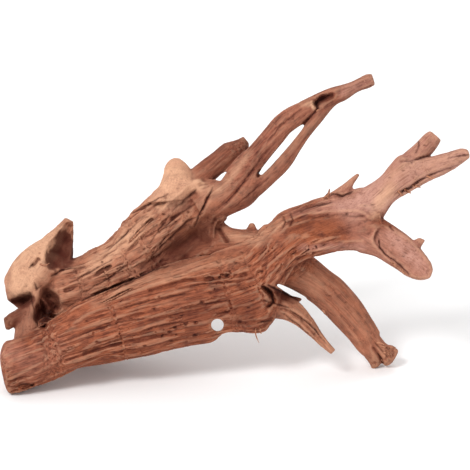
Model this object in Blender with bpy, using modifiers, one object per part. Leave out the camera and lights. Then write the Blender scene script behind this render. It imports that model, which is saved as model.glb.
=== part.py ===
"""A piece of mangrove root that stands on three feet, as one closed solid.

The form is drawn on a front sheet, in millimetres: x runs right, y runs down, and depth runs back from the
sheet. Each limb is a loft through ribs. A rib joins the limb's two edges on the sheet, and says how deep its
middle lies and how thick it is from there to the front or the back. The limbs grow together in a voxel
remesh. Strokes then press hollows, cracks and folds into the skin that faces the front or the back, and the
root leans back by SHEET_LEAN onto its feet.
"""

import math

import bmesh
import bpy
import numpy as np
from mathutils import Matrix, Vector, noise
from mathutils.bvhtree import BVHTree

MM = 0.001
SHEET_LEAN = math.radians(22)
SHEET_BASE = 400  # the y that stands for height 0

RING_SIDES = 40
RING_SPACING = 4
FLUTE_WIDTH = 7  # of one ridge of the grain
FLUTE_LENGTH = 55
BROAD_FLUTES, FINE_FLUTES = 2.6, 0.7  # their shares of the grain's height
FLUTE_MEAN = 0.45  # keeps the middle of the broad ones at the limb's own size
FINER_ACROSS, FINER_ALONG = 2, 1.5  # how much closer the fine ones stand
FLUTES_PER_RADIUS = 0.15  # the highest that the grain stands on a thin limb
SEED_STEP = 7.3  # keeps two limbs' grain apart
VOXEL = 1.9
SMOOTH_SHARE = 0.5
GROWTH_SMOOTHING, FINISH_SMOOTHING = 2, 1  # passes
SWELLING = 0.45  # gives back what the smoothing takes from the skin
TRIANGLE_TARGET = 10400
STROKE_REACH = (9, 18)  # a stroke leaves alone what lies further in front of or behind the skin than this
STROKE_ROUNDNESS = 1.5  # a higher power makes a stroke's bed narrower
STROKE_GRAIN = 11  # from one deep stretch of a stroke to the next
STROKE_UNEVENNESS = 0.7  # of a stroke that is up to EVEN_WIDTH wide, and less of a wider one
EVEN_WIDTH = 4.3
HIDDEN = 1  # a place this far behind the skin in front of it is hidden
FAR = 400  # clear of the root on every side

DRILLED_HOLE = (217.5, 324.5, 12.5)  # x, y and width
HOLE_SIDES = 20
# Narrow gaps that show daylight, as outlines on the sheet.
SLITS = {
    "branch_slit": [
        (258, 175), (262, 168), (270, 157.5), (280, 145.5), (290, 133), (299, 126.5),
        (306, 123), (301, 131), (291, 143.5), (281, 155), (271, 166), (262, 175),
    ],
    "stub_slit": [(214.5, 180), (221, 174), (228.5, 169.5), (224.5, 176), (221, 181)],
    "fin_slit": [
        (273, 283), (280, 284), (290, 288.5), (300, 293.8), (308, 298.5), (305, 300.5),
        (299, 297.6), (292, 296), (285, 291.6), (279, 287.5),
    ],
}
FOOT_FLAT = 1.5  # how much of the lowest foot is worn flat

WOOD_COLOUR = (0.36, 0.15, 0.085, 1.0)
WOOD_ROUGHNESS = 0.72

# How high the grain stands, then the ribs: x and y of one edge, x and y of the other, depth of the middle and
# half of the thickness.
LIMBS = {
    "trunk": (2.4, [
        (1, 354, 2, 366, 24, 12),
        (4, 345, 6, 384, 24, 20),
        (11, 340, 13, 392, 24, 25),
        (33, 331, 41, 384, 27, 27),
        (58, 317, 75, 369, 31, 29),
        (84, 300, 100, 362, 34, 31),
        (106, 290, 123, 359, 36, 32),
        (140, 275, 155, 353, 37, 33),
        (172, 266, 186, 346, 38, 33),
        (203, 258, 212, 341, 38, 32),
        (214, 254, 224, 333, 38, 31),
        (228, 250, 240, 331, 37, 30),
        (244, 243, 262, 332, 36, 28),
        (253, 236, 272, 322, 35, 26),
        (262, 229, 278, 300, 33, 25),
        (270, 223, 286, 280, 32, 25),
        (282, 214, 296, 265, 30, 25),
        (300, 207, 312, 257, 29, 25),
        (320, 199, 330, 252, 27, 25),
        (342, 195, 350, 250, 26, 24),
        (362, 190, 368, 251, 25, 24),
        (376, 196, 384, 240, 25, 17),
    ]),
    "saddle": (0.8, [
        (200, 226, 206, 270, 66, 18),
        (221, 222, 224, 268, 60, 17),
        (230, 227.5, 238, 266, 53, 17),
        (245, 229.5, 252, 266, 46, 18),
        (262, 229, 268, 266, 38, 18),
        (280, 217, 286, 258, 32, 18),
    ]),
    "saddle_knot": (0.2, [
        (243, 236, 260, 236, 46, 8),
        (247, 229, 257, 230, 46, 5),
        (250, 223, 254, 223, 46, 3),
    ]),
    "spike": (0.3, [
        (320, 202, 346, 206, 25, 8),
        (329, 194, 350, 197, 24, 6),
        (338, 188, 351, 190, 23, 4.5),
        (346, 182, 353, 184, 22, 3.5),
        (352, 177, 356.5, 179, 22, 3),
        (357, 173.5, 359, 175, 22, 2),
    ]),
    "far_branch": (1.0, [
        (345, 198, 366, 244, 25, 20),
        (366, 187, 386, 212, 24, 18),
        (380, 177, 394, 201, 22, 17),
        (390, 165, 405, 194, 20, 15),
        (400, 156, 417, 187, 18, 14),
        (416, 158, 430, 180, 17, 12),
        (430, 157, 441, 175, 16, 10),
        (446, 153, 454, 168, 15, 8),
        (460, 149, 464, 161, 14, 6.5),
        (466.5, 150.5, 469, 157, 14, 5),
    ]),
    "far_branch_stub": (0.7, [
        (388, 168, 408, 180, 20, 11),
        (402, 155, 421, 164, 22, 11),
        (414, 145, 431, 154, 24, 9),
        (424, 135, 437, 146, 26, 8.5),
        (430, 131.5, 440, 140, 27, 8),
    ]),
    "sawn_lobe": (1.0, [
        (360, 205, 358, 252, 26, 21),
        (384, 220, 374, 256, 22, 20),
        (396, 228, 386, 263, 18, 18),
        (407, 236, 396, 269, 14, 16),
        (417, 246, 406, 276, 11, 13),
        (425, 256, 416, 279, 9, 11),
        (430, 264, 424, 279, 8, 8),
        (431.5, 270, 429, 277, 8, 5),
    ]),
    "lobe_spur": (0.2, [
        (404, 243, 416, 252, 12, 6),
        (412, 240.5, 420, 246, 11, 4),
        (418, 237.5, 424, 240, 10, 3),
    ]),
    "leg": (1.8, [
        (262, 250, 246, 284, 42, 16),
        (285, 245, 266, 284, 47, 18),
        (301, 249, 282, 286, 53, 19),
        (316, 259, 296, 292, 60, 19),
        (330, 271, 311, 302, 66, 18.5),
        (343, 281, 324, 313, 71, 18),
        (355, 294, 336, 325, 75, 17),
        (365, 308, 348, 338, 78, 16),
        (374, 322, 358, 350, 80, 14),
        (381, 334, 366, 357, 82, 12),
    ]),
    "leg_near_toe": (0.6, [
        (380, 336, 361, 350, 81, 12),
        (383, 351, 367, 359, 82, 10),
        (383, 362, 371, 365, 83, 7),
        (379, 368, 374, 370, 84, 4),
    ]),
    "leg_far_toe": (0.8, [
        (376, 330, 368, 346, 82, 12),
        (387, 344, 380, 360, 82, 11),
        (395, 347, 388, 366, 82, 9),
        (400, 352, 394, 363, 82, 6),
    ]),
    "split_leg": (1.0, [
        (248, 280, 250, 318, 39, 16),
        (266, 286, 270, 318, 40, 14),
        (280, 292, 283, 319, 41, 12),
        (292, 298, 291, 322, 43, 10.5),
        (302, 305, 299, 327, 44, 9),
        (310, 315, 306, 333, 45, 7.5),
        (317, 325, 313, 339, 46, 6.5),
        (324, 336, 320, 345, 47, 5),
        (331, 345, 327, 351, 48, 4.2),
        (335.5, 350, 331, 354.5, 48, 3.4),
    ]),
    "split_leg_fin": (0.4, [
        (260, 281, 262, 298, 48, 7),
        (274, 285, 275, 303, 50, 6),
        (284, 290.5, 284, 304, 52, 5),
        (292, 295, 292, 304, 53, 4),
        (304, 296.5, 301, 301, 54, 2.5),
    ]),
    "upper_body": (2.8, [
        (26, 262, 34, 312, 64, 14),
        (48, 262, 58, 320, 66, 26),
        (72, 259, 88, 314, 67, 30),
        (96, 248, 118, 302, 68, 32),
        (117, 232, 150, 292, 70, 33),
        (131, 214, 182, 284, 73, 33),
        (149, 198, 207, 268, 74, 33),
        (166, 186, 217, 254, 70, 32),
        (192, 180, 218, 232, 60, 28),
        (213, 181, 226, 217, 50, 20),
    ]),
    "upper_branch": (1.2, [
        (188, 192, 208, 226, 54, 24),
        (212, 181, 231, 214.5, 46, 22),
        (230, 166, 252, 204, 39, 19),
        (243, 153, 264, 186, 36, 15),
        (252, 145, 266, 166, 34, 12),
        (264, 130.5, 277.5, 152, 31, 11),
        (274, 118.5, 289, 137, 29, 11),
        (286, 109.5, 299, 128.5, 28, 10),
        (300, 102.5, 309, 120, 27, 9),
        (314, 95.5, 321, 114, 27, 8),
        (328, 89.5, 335, 104.5, 27, 7.5),
        (340, 86, 346, 99.5, 27, 7),
        (352, 82, 358, 92, 27, 6),
        (366, 75, 370, 87.5, 27, 6),
        (371.5, 75, 374.5, 84.5, 27, 5.5),
    ]),
    "twig": (0.7, [
        (234, 186, 243, 209, 40, 14),
        (248, 177, 260.5, 195, 35, 11),
        (260, 172, 275, 181.5, 32, 9),
        (269, 164, 285, 172, 31, 8),
        (278.5, 153.5, 293, 162, 30, 7.5),
        (288.5, 142.5, 302, 147.5, 29, 6.5),
        (299, 130, 312, 133.5, 28, 6.5),
        (306, 122.5, 322, 121.5, 28, 6.5),
        (314, 112, 332, 108.5, 28, 6.5),
        (326, 100, 341, 101, 28, 6),
    ]),
    "pale_lobe": (0.8, [
        (146, 203, 208, 198, 58, 22),
        (158, 188, 200, 185, 57, 18),
        (163, 176, 193, 175, 57, 14),
        (165, 166, 188, 166, 58, 11),
        (169.5, 160, 183, 161, 58, 7),
        (174, 157.5, 179, 158, 58, 4),
    ]),
    "broken_stub": (0.9, [
        (176, 182, 200, 202, 60, 15),
        (192, 169, 212, 183, 62, 13),
        (203, 160.5, 222, 175, 64, 12.5),
        (214, 152, 233, 168, 65, 12),
        (224, 144, 243, 161, 66, 11),
        (236, 140.5, 247.5, 152, 67, 8),
        (243.5, 136, 248.5, 142, 68, 4),
    ]),
    "stump": (2.6, [
        (7, 300, 20, 310, 54, 9),
        (5, 290, 36, 304, 56, 18),
        (5.5, 280, 48, 296, 58, 25),
        (9, 268, 58, 284, 60, 29),
        (16, 258.5, 64, 276, 62, 30),
        (30, 247, 69, 266, 64, 28),
        (42, 238, 71.5, 256, 66, 25),
        (53, 229, 72, 245, 68, 20),
        (61, 221.5, 72, 234, 70, 14),
        (66.5, 217.5, 71.5, 224, 70, 7),
    ]),
    "strut": (0.6, [
        (38, 292, 42, 318, 46, 10),
        (26, 303, 29, 324, 40, 8),
        (16, 310, 18, 325, 37, 7),
        (8, 315, 9.5, 329.5, 35, 6),
        (4, 319, 6, 329, 35, 4),
    ]),
    "post": (0.5, [
        (27, 276, 48, 276, 48, 14),
        (28, 290, 43, 291, 42, 9),
        (29, 303, 39, 304, 40, 7),
        (18, 322, 38, 322, 38, 9),
        (15, 334, 38, 331, 35, 12),
        (14, 348, 42, 344, 30, 14),
    ]),
    "rear_wall": (3.2, [
        (30, 262, 70, 262, 80, 16),
        (26, 285, 92, 282, 92, 20),
        (28, 310, 98, 302, 104, 20),
        (34, 332, 92, 326, 114, 17),
        (44, 346, 82, 342, 120, 13),
        (54, 352, 72, 350, 123, 9),
    ]),
    "rear_root": (3.2, [
        (40, 296, 62, 340, 104, 17),
        (70, 284, 92, 330, 100, 20),
        (105, 266, 130, 318, 92, 23),
        (140, 244, 170, 302, 84, 24),
        (175, 225, 205, 285, 76, 24),
        (205, 215, 235, 270, 66, 20),
        (238, 233, 262, 268, 52, 16),
    ]),
}


# Each place of a stroke: x, y, half of the width, and how deep it presses. Below 0 it stands out.
FRONT_STROKES = {
    "stump_hollow": [(68, 227, 6, 9), (64, 240, 12, 20), (58, 253, 14, 25), (54, 261, 10, 16)],
    "stump_knot": [(39, 259, 4, 7), (34, 265, 3.5, 6)],
    "gap_under_stump": [(15, 302, 4.5, 12), (22, 300, 6, 18), (29, 297, 5, 14)],
    "hollow_by_post": [(46, 293, 7, 11), (53, 300, 8, 13), (56, 310, 6, 11), (50, 318, 5, 10)],
    "black_hollow": [(40, 309, 6, 20), (41, 318, 7.5, 28), (44, 325, 5, 20)],
    "ridge_by_post": [(43, 299, 3, -3), (52, 312, 3, -4), (66, 311, 3, -3), (80, 305, 3, -2)],
    "body_hollow": [(208, 225, 12, 8), (197, 236, 18, 16), (181, 246, 20, 17), (162, 256, 14, 12)],
    "body_groove": [(66, 290, 3, 2.5), (95, 276, 3, 3), (125, 254, 3, 3), (148, 232, 3, 3)],
    "body_upper_groove": [(76, 270, 3, 2), (102, 259, 3, 3), (126, 240, 3, 2)],
    "trunk_crack": [
        (78, 303, 3, 6), (100, 293, 3.6, 13), (120, 284, 4.2, 17), (140, 276, 4.2, 16),
        (156, 270, 3.4, 10),
    ],
    "crest_crack": [(98, 305, 2.2, 4), (114, 298, 2.6, 7), (133, 288, 2.2, 4)],
    "plate": [(160, 212, 4, -2), (174, 199, 6, -4), (187, 188, 7, -5), (198, 182, 5, -3)],
    "plate_foot": [(172, 218, 5, 4), (184, 206, 6, 5), (196, 195, 5, 4)],
    "ledge": [(131, 215, 4, -2), (148, 200, 4, -3), (172, 189, 4, -2)],
    "ledge_groove": [(136, 221, 3, 4), (150, 209, 3, 5), (166, 198, 2.5, 4)],
    "splinter_hole": [(152, 219, 3, 5), (142, 228, 4, 9), (131, 240, 4, 7)],
    "branch_crack": [
        (213, 188, 2.2, 5), (208, 199, 2.4, 8), (202, 211, 2.4, 8), (195, 224, 2.2, 6),
    ],
    "branch_pit": [(220, 230, 3.5, 6), (227, 241, 4, 5)],
    "branch_groove": [(214, 214, 3, 2), (232, 196, 3, 3), (250, 174, 3, 3), (260, 166, 2.5, 4)],
    "slit_end": [(258, 176, 2.2, 6), (260, 171, 2.5, 9)],
    "strand_join": [(303, 124, 2.2, 6), (310, 117, 2.4, 6), (317, 110, 2.4, 5)],
    "branch_pocket": [(315, 104, 4, 6), (322, 99, 5, 8), (331, 96, 4, 6)],
    "limb_dish": [
        (290, 229, 6, 2), (312, 228, 11, 4), (338, 228, 13, 6), (357, 229, 12, 5),
        (366, 231, 8, 3),
    ],
    "dish_lip": [
        (285, 220, 2.5, -1.5), (305, 213, 3, -2), (335, 210, 3, -2), (360, 211, 3, -2),
        (371, 219, 3, -1.5),
    ],
    "limb_furrow": [(288, 216, 2.2, 4), (304, 208, 2.4, 4), (330, 201, 2.2, 3)],
    "spike_crease": [(330, 196, 2.4, 3), (342, 197, 2.4, 4), (350, 194, 2.2, 3)],
    "stub_furrow": [(399, 162, 2.2, 4), (415, 160, 2.4, 6), (430, 156, 3, 6)],
    "flake_furrow": [
        (394, 194, 2.4, 4), (409, 187, 3, 6), (425, 177, 2.6, 6), (441, 171, 2.4, 5),
        (456, 166, 2, 4),
    ],
    "hollow_tip": [(456, 156, 2.4, 3), (463, 155, 3, 5)],
    "lobe_groove": [
        (378, 238, 2.4, 4), (379, 248, 2.6, 6), (386, 256, 2.6, 6), (396, 265, 2.6, 6),
        (408, 275, 2.4, 4),
    ],
    "trunk_end_fold": [(263, 287, 3, 6), (270, 293, 4, 10), (273, 300, 4, 10), (268, 306, 2.6, 5)],
    "fin_hollow": [(277, 292, 4, 6), (287, 298, 3.5, 5)],
    "split_grooves": [
        (264, 304, 2.2, 3), (284, 309, 2.4, 5), (300, 319, 2.4, 5), (312, 332, 2.2, 4),
        (326, 346, 1.8, 3),
    ],
    "leg_groove": [(294, 268, 3, 2), (325, 295, 3, 2.5), (350, 324, 3, 2.5), (368, 345, 3, 3)],
    "toe_split": [(374, 348, 2.4, 4), (379, 355, 2.6, 6), (383, 363, 3, 8)],
    "trunk_low_groove": [
        (62, 361, 2.4, 2), (110, 345, 2.6, 3), (160, 335, 2.6, 3), (205, 333, 2.4, 2),
    ],
    "trunk_mid_groove": [
        (70, 336, 2.4, 2), (100, 326, 2.4, 2.5), (140, 314, 2.6, 3), (178, 306, 2.4, 2),
    ],
    "trunk_high_groove": [
        (150, 290, 2.4, 2), (185, 280, 2.6, 3), (215, 278, 2.4, 3), (246, 274, 2.4, 2),
    ],
    "edge_crack": [(238, 322, 2, 3), (255, 321, 2.2, 6), (272, 318, 2.2, 6)],
    "butt_hollow": [(14, 388, 3, 3), (22, 385, 4, 5), (34, 383, 3, 4)],
}
BACK_STROKES = {
    "behind_hole": [(192, 330, 15, 14), (217, 322, 20, 35), (242, 314, 15, 15)],
    "back_hollow": [(86, 340, 12, 6), (122, 330, 16, 12), (156, 322, 17, 15), (185, 308, 14, 9)],
    "back_groove": [(78, 302, 4, 4), (118, 284, 4.5, 6), (166, 258, 4.5, 6), (214, 236, 4, 5)],
    "back_crack": [(60, 324, 3, 6), (58, 302, 3, 9), (66, 280, 3, 7), (88, 262, 3, 5)],
    "back_body_hollow": [(112, 250, 8, 4), (140, 228, 12, 8), (166, 208, 9, 5)],
    "back_upper_groove": [(150, 262, 3, 3), (180, 236, 4, 6), (204, 206, 3, 4)],
    "back_low_groove": [(104, 300, 3, 4), (150, 282, 3.5, 5), (196, 262, 3, 4)],
    "back_branch_groove": [(226, 196, 3, 3), (252, 160, 3, 3), (284, 122, 2.6, 3)],
    "back_knot": [(96, 276, 6, -4), (104, 272, 5, -3)],
    "back_limb_groove": [(285, 235, 3, 3), (325, 222, 4, 4), (365, 215, 3, 3)],
    "back_leg_groove": [(292, 262, 3, 3), (325, 288, 3, 3), (352, 320, 3, 3)],
    "back_stump_groove": [(30, 300, 3, 3), (26, 276, 3.5, 6), (40, 254, 3.5, 6), (60, 236, 3, 4)],
    "back_stump_crack": [(44, 296, 2.6, 4), (46, 274, 3, 8), (58, 256, 2.6, 5)],
    "back_foot_grooves": [(40, 334, 3, 3), (42, 312, 3.5, 6), (38, 290, 3, 4)],
    "back_foot_furrow": [(80, 332, 3, 3), (78, 312, 3.5, 6), (92, 292, 3, 4)],
    "back_limb_furrow": [(300, 246, 3, 3), (330, 240, 3.5, 5), (360, 232, 3, 3)],
    "back_fork_groove": [(380, 196, 2.6, 3), (400, 178, 3, 5), (428, 166, 2.6, 3)],
}

# Each place of a sawn face: x, y, half of the width, and the depth of the flat.
SAWN_FACES = {
    "lobe_face": [(386, 238, 13, 7), (404, 252, 15, 5), (425, 270, 12, 3)],
}


def on_sheet(x, y, depth):
    """The place of a point of the sheet, in metres: x right, y back, z up."""
    return Vector((x, depth, SHEET_BASE - y)) * MM


def catmull_rom(before, start, end, after, t):
    """A smooth value between start and end, t of the way along."""
    return 0.5 * (
        2 * start
        + (end - before) * t
        + (2 * before - 5 * start + 4 * end - after) * t * t
        + (3 * start - before - 3 * end + after) * t * t * t
    )


def closer_ribs(ribs):
    """The ribs with smooth ones added between them, about RING_SPACING apart."""
    rows = []
    for i, (start, end) in enumerate(zip(ribs, ribs[1:])):
        before = ribs[max(i - 1, 0)]
        after = ribs[min(i + 2, len(ribs) - 1)]
        twice_across = start[0] + start[2] - end[0] - end[2]
        twice_down = start[1] + start[3] - end[1] - end[3]
        steps = max(1, round(math.hypot(twice_across, twice_down) / 2 / RING_SPACING))
        for step in range(steps):
            rows.append([catmull_rom(*values, step / steps) for values in zip(before, start, end, after)])
    rows.append(list(ribs[-1]))
    return rows


def flute(angle, along, radius, seed):
    """How far the grain's ridges stand out at this place of a limb, from about -1 to 1."""
    turn = radius / FLUTE_WIDTH
    broad = Vector((math.cos(angle) * turn, math.sin(angle) * turn, along / FLUTE_LENGTH + seed))
    turn *= FINER_ACROSS
    along *= FINER_ALONG
    fine = Vector((math.cos(angle) * turn, math.sin(angle) * turn, along / FLUTE_LENGTH - seed))
    ridge = abs(noise.noise(broad)) * BROAD_FLUTES - FLUTE_MEAN
    return ridge + noise.noise(fine) * FINE_FLUTES


def add_loft(bm, ribs, grain_height, seed):
    """Adds one closed limb through these ribs."""
    rings = []
    along = 0.0
    last_middle = None
    for ax, ay, bx, by, depth, half in closer_ribs(ribs):
        middle = on_sheet((ax + bx) / 2, (ay + by) / 2, depth)
        across = (on_sheet(ax, ay, depth) - on_sheet(bx, by, depth)) / 2
        back = Vector((0, half * MM, 0))
        radius = (across.length / MM + half) / 2
        height = min(grain_height, radius * FLUTES_PER_RADIUS)
        if last_middle is not None:
            along += (middle - last_middle).length / MM
        last_middle = middle
        ring = []
        for side in range(RING_SIDES):
            angle = 2 * math.pi * side / RING_SIDES
            grown = 1 + (SWELLING + height * flute(angle, along, radius, seed)) / radius
            spread = across * math.cos(angle) + back * math.sin(angle)
            ring.append(bm.verts.new(middle + spread * grown))
        rings.append(ring)
    for ring, following in zip(rings, rings[1:]):
        for side in range(RING_SIDES):
            other = (side + 1) % RING_SIDES
            bm.faces.new((ring[side], ring[other], following[other], following[side]))
    bm.faces.new(rings[0])
    bm.faces.new(rings[-1])


def grown_limbs():
    """All limbs as overlapping closed bodies in one mesh."""
    bm = bmesh.new()
    for number, (grain_height, ribs) in enumerate(LIMBS.values()):
        add_loft(bm, ribs, grain_height, seed=number * SEED_STEP)
    bmesh.ops.recalc_face_normals(bm, faces=bm.faces)
    mesh = bpy.data.meshes.new("limbs")
    bm.to_mesh(mesh)
    bm.free()
    return mesh


def add_modifier(target, kind, **settings):
    """Adds a modifier with these settings, named for its kind."""
    modifier = target.modifiers.new(kind.lower(), kind)
    for name, value in settings.items():
        setattr(modifier, name, value)


def evaluated_mesh(source, name):
    """The mesh of an object with its modifiers."""
    bpy.context.view_layer.update()
    graph = bpy.context.evaluated_depsgraph_get()
    mesh = bpy.data.meshes.new_from_object(source.evaluated_get(graph))
    mesh.name = name
    return mesh


def apply_modifiers(target):
    """Replaces an object's mesh by what its modifiers make of it."""
    mesh = evaluated_mesh(target, target.name)
    target.modifiers.clear()
    target.data = mesh


class Skin:
    """The root's skin as sheet places, and what faces one side of the sheet.

    Attributes:
        inward: 1 for the front skin and -1 for the back skin, the way depth runs into the wood there.
    """

    def __init__(self, mesh, inward):
        self.mesh = mesh
        self.inward = inward
        places = np.empty(len(mesh.vertices) * 3)
        mesh.vertices.foreach_get("co", places)
        places = places.reshape(-1, 3) / MM
        self.x = places[:, 0]
        self.y = SHEET_BASE - places[:, 2]
        self.depth = places[:, 1]
        bm = bmesh.new()
        bm.from_mesh(mesh)
        self.tree = BVHTree.FromBMesh(bm)
        bm.free()

    def depth_at(self, x, y):
        """The depth of the skin at a place of the sheet, or None beside the root."""
        start = on_sheet(x, y, -FAR * self.inward)
        hit = self.tree.ray_cast(start, Vector((0, self.inward, 0)))[0]
        return None if hit is None else hit.y / MM

    def faces_out(self, chosen):
        """Which of the chosen vertices nothing else hides."""
        seen = np.zeros(len(self.x), bool)
        for i in np.flatnonzero(chosen):
            depth = self.depth_at(self.x[i], self.y[i])
            seen[i] = depth is None or (self.depth[i] - depth) * self.inward < HIDDEN
        return seen

    def along_stroke(self, stroke):
        """For each vertex, its distance from the stroke in half widths, and the stroke's last value there."""
        nearness = np.full(len(self.x), np.inf)
        value = np.zeros(len(self.x))
        for (ax, ay, a_half, a_value), (bx, by, b_half, b_value) in zip(stroke, stroke[1:]):
            run = np.array((bx - ax, by - ay))
            t = ((self.x - ax) * run[0] + (self.y - ay) * run[1]) / (run @ run)
            t = np.clip(t, 0, 1)
            distance = np.hypot(self.x - ax - t * run[0], self.y - ay - t * run[1])
            distance /= a_half + (b_half - a_half) * t
            nearer = distance < nearness
            nearness[nearer] = distance[nearer]
            value[nearer] = (a_value + (b_value - a_value) * t)[nearer]
        return nearness, value

    def skin_along(self, stroke):
        """The skin's depth along a stroke, for each vertex."""
        depths = [self.depth_at(x, y) for x, y, _, _ in stroke]
        known = next(depth for depth in depths if depth is not None)
        depths = [known if depth is None else depth for depth in depths]
        return self.along_stroke([(x, y, 1, depth) for (x, y, _, _), depth in zip(stroke, depths)])[1]

    def press(self, strokes):
        """Presses the strokes into the wood, or raises them out of it."""
        shift = np.zeros(len(self.x))
        rough = self.unevenness()
        for stroke in strokes.values():
            nearness, deep = self.along_stroke(stroke)
            chosen = self.faces_out(nearness < 1)
            gap = np.abs(self.depth - self.skin_along(stroke))
            near, far = STROKE_REACH
            held = np.clip((far - gap) / (far - near), 0, 1)
            profile = (1 - np.minimum(nearness, 1) ** 2) ** STROKE_ROUNDNESS
            widest = max(half for _, _, half, _ in stroke)
            kept = 1 + rough * STROKE_UNEVENNESS * min(1, EVEN_WIDTH / widest)
            shift += np.where(chosen, deep * profile * held * kept, 0)
        self.move_to(self.depth + shift * self.inward)

    def unevenness(self):
        """Noise over the sheet, for each vertex, so that no stroke looks drawn."""
        return np.array([noise.noise(Vector((x, y, 0)) / STROKE_GRAIN) for x, y in zip(self.x, self.y)])

    def saw(self, faces):
        """Cuts each flat face, by moving what stands out of it back to it."""
        depth = self.depth.copy()
        for face in faces.values():
            nearness, flat = self.along_stroke(face)
            above = (nearness < 1) & ((flat - self.depth) * self.inward > 0)
            depth[above] = flat[above]
        self.move_to(depth)

    def move_to(self, depth):
        """Gives every vertex this depth."""
        self.depth = depth
        places = np.stack([self.x, depth, SHEET_BASE - self.y], axis=1) * MM
        self.mesh.vertices.foreach_set("co", places.ravel())
        self.mesh.update()


def cutter(name, bm, collection):
    """An object that cuts the root and isn't part of it."""
    bmesh.ops.recalc_face_normals(bm, faces=bm.faces)
    mesh = bpy.data.meshes.new(name)
    bm.to_mesh(mesh)
    bm.free()
    made = bpy.data.objects.new(name, mesh)
    made.hide_render = True
    made.display_type = "WIRE"
    collection.objects.link(made)
    return made


def drill(collection):
    """The rod that drills the hole, straight back from the sheet."""
    x, y, width = DRILLED_HOLE
    bm = bmesh.new()
    bmesh.ops.create_cone(
        bm,
        cap_ends=True,
        segments=HOLE_SIDES,
        radius1=width / 2 * MM,
        radius2=width / 2 * MM,
        depth=2 * FAR * MM,
        matrix=Matrix.Translation(on_sheet(x, y, 0)) @ Matrix.Rotation(math.pi / 2, 4, "X"),
    )
    return cutter("drill", bm, collection)


def slit(name, outline, collection):
    """The wedge that opens a narrow gap, straight back from the sheet."""
    bm = bmesh.new()
    near_end = bm.faces.new([bm.verts.new(on_sheet(x, y, -FAR)) for x, y in outline])
    pulled = bmesh.ops.extrude_face_region(bm, geom=[near_end])["geom"]
    pulled_verts = [item for item in pulled if isinstance(item, bmesh.types.BMVert)]
    bmesh.ops.translate(bm, verts=pulled_verts, vec=(0, 2 * FAR * MM, 0))
    return cutter(name, bm, collection)


def stand_on_feet(mesh):
    """Leans the mesh back, puts its origin at the middle of its underside and wears the feet flat there."""
    mesh.transform(Matrix.Rotation(-SHEET_LEAN, 4, "X"))
    places = np.array([vertex.co for vertex in mesh.vertices])
    low, high = places.min(axis=0), places.max(axis=0)
    middle = (low + high) / 2
    mesh.transform(Matrix.Translation((-middle[0], -middle[1], -low[2] - FOOT_FLAT * MM)))
    bm = bmesh.new()
    bm.from_mesh(mesh)
    everything = bm.verts[:] + bm.edges[:] + bm.faces[:]
    floor = {"plane_co": (0, 0, 0), "plane_no": (0, 0, -1)}
    cut = bmesh.ops.bisect_plane(bm, geom=everything, clear_outer=True, **floor)
    rim = [item for item in cut["geom_cut"] if isinstance(item, bmesh.types.BMEdge)]
    bmesh.ops.holes_fill(bm, edges=rim)
    bmesh.ops.triangulate(bm, faces=bm.faces)
    bm.to_mesh(mesh)
    bm.free()


def wood():
    """The root's material."""
    material = bpy.data.materials.new("root_wood")
    material.use_nodes = True
    shader = material.node_tree.nodes["Principled BSDF"]
    shader.inputs["Base Color"].default_value = WOOD_COLOUR
    shader.inputs["Roughness"].default_value = WOOD_ROUGHNESS
    shader.inputs["Metallic"].default_value = 0.0
    return material


def new_collection(name):
    """A new collection in the scene."""
    made = bpy.data.collections.new(name)
    bpy.context.scene.collection.children.link(made)
    return made


def build_root():
    """Grows the limbs together, carves them and stands the root on its feet."""
    root = bpy.data.objects.new("mangrove_root", grown_limbs())
    new_collection("mangrove_root").objects.link(root)
    add_modifier(root, "REMESH", mode="VOXEL", voxel_size=VOXEL * MM)
    add_modifier(root, "SMOOTH", factor=SMOOTH_SHARE, iterations=GROWTH_SMOOTHING)
    apply_modifiers(root)

    front = Skin(root.data, inward=1)
    front.saw(SAWN_FACES)
    front.press(FRONT_STROKES)
    Skin(root.data, inward=-1).press(BACK_STROKES)

    add_modifier(root, "REMESH", mode="VOXEL", voxel_size=VOXEL * MM)
    add_modifier(root, "SMOOTH", factor=SMOOTH_SHARE, iterations=FINISH_SMOOTHING)
    apply_modifiers(root)
    add_modifier(root, "DECIMATE", ratio=TRIANGLE_TARGET / (2 * len(root.data.polygons)))
    cutters = new_collection("cutters")
    made = [drill(cutters)] + [slit(name, outline, cutters) for name, outline in SLITS.items()]
    for tool in made:
        add_modifier(root, "BOOLEAN", operation="DIFFERENCE", solver="EXACT", object=tool)
    apply_modifiers(root)
    stand_on_feet(root.data)
    root.data.shade_smooth()
    root.data.materials.clear()
    root.data.materials.append(wood())


for old in list(bpy.data.objects):
    bpy.data.objects.remove(old)
build_root()
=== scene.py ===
"""The looks of a weathered mangrove root that stands on its own three feet.

The root is grown again from the same ribs as the plain solid, at a finer grain, and takes its place. Sizes
are in millimetres on a front sheet: x runs right, y runs down, and depth runs back from the sheet. The sheet
leans back, and its shift puts it where the frame has it. Cracks, pits and furrows of the grain are carved
into the skin. Colour follows the limbs, the carving and a few named patches. Hollows and many patches are
painted darker as shade, cracks, pits and furrows carry painted shade and dirt, and ridges and lit crests are
painted lighter as highlight.
"""

import logging
import math
from collections.abc import Iterator
from dataclasses import dataclass, field
from enum import Enum

import bmesh
import bpy
import numpy as np
from mathutils import Matrix, Vector, noise
from mathutils.bvhtree import BVHTree


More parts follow.
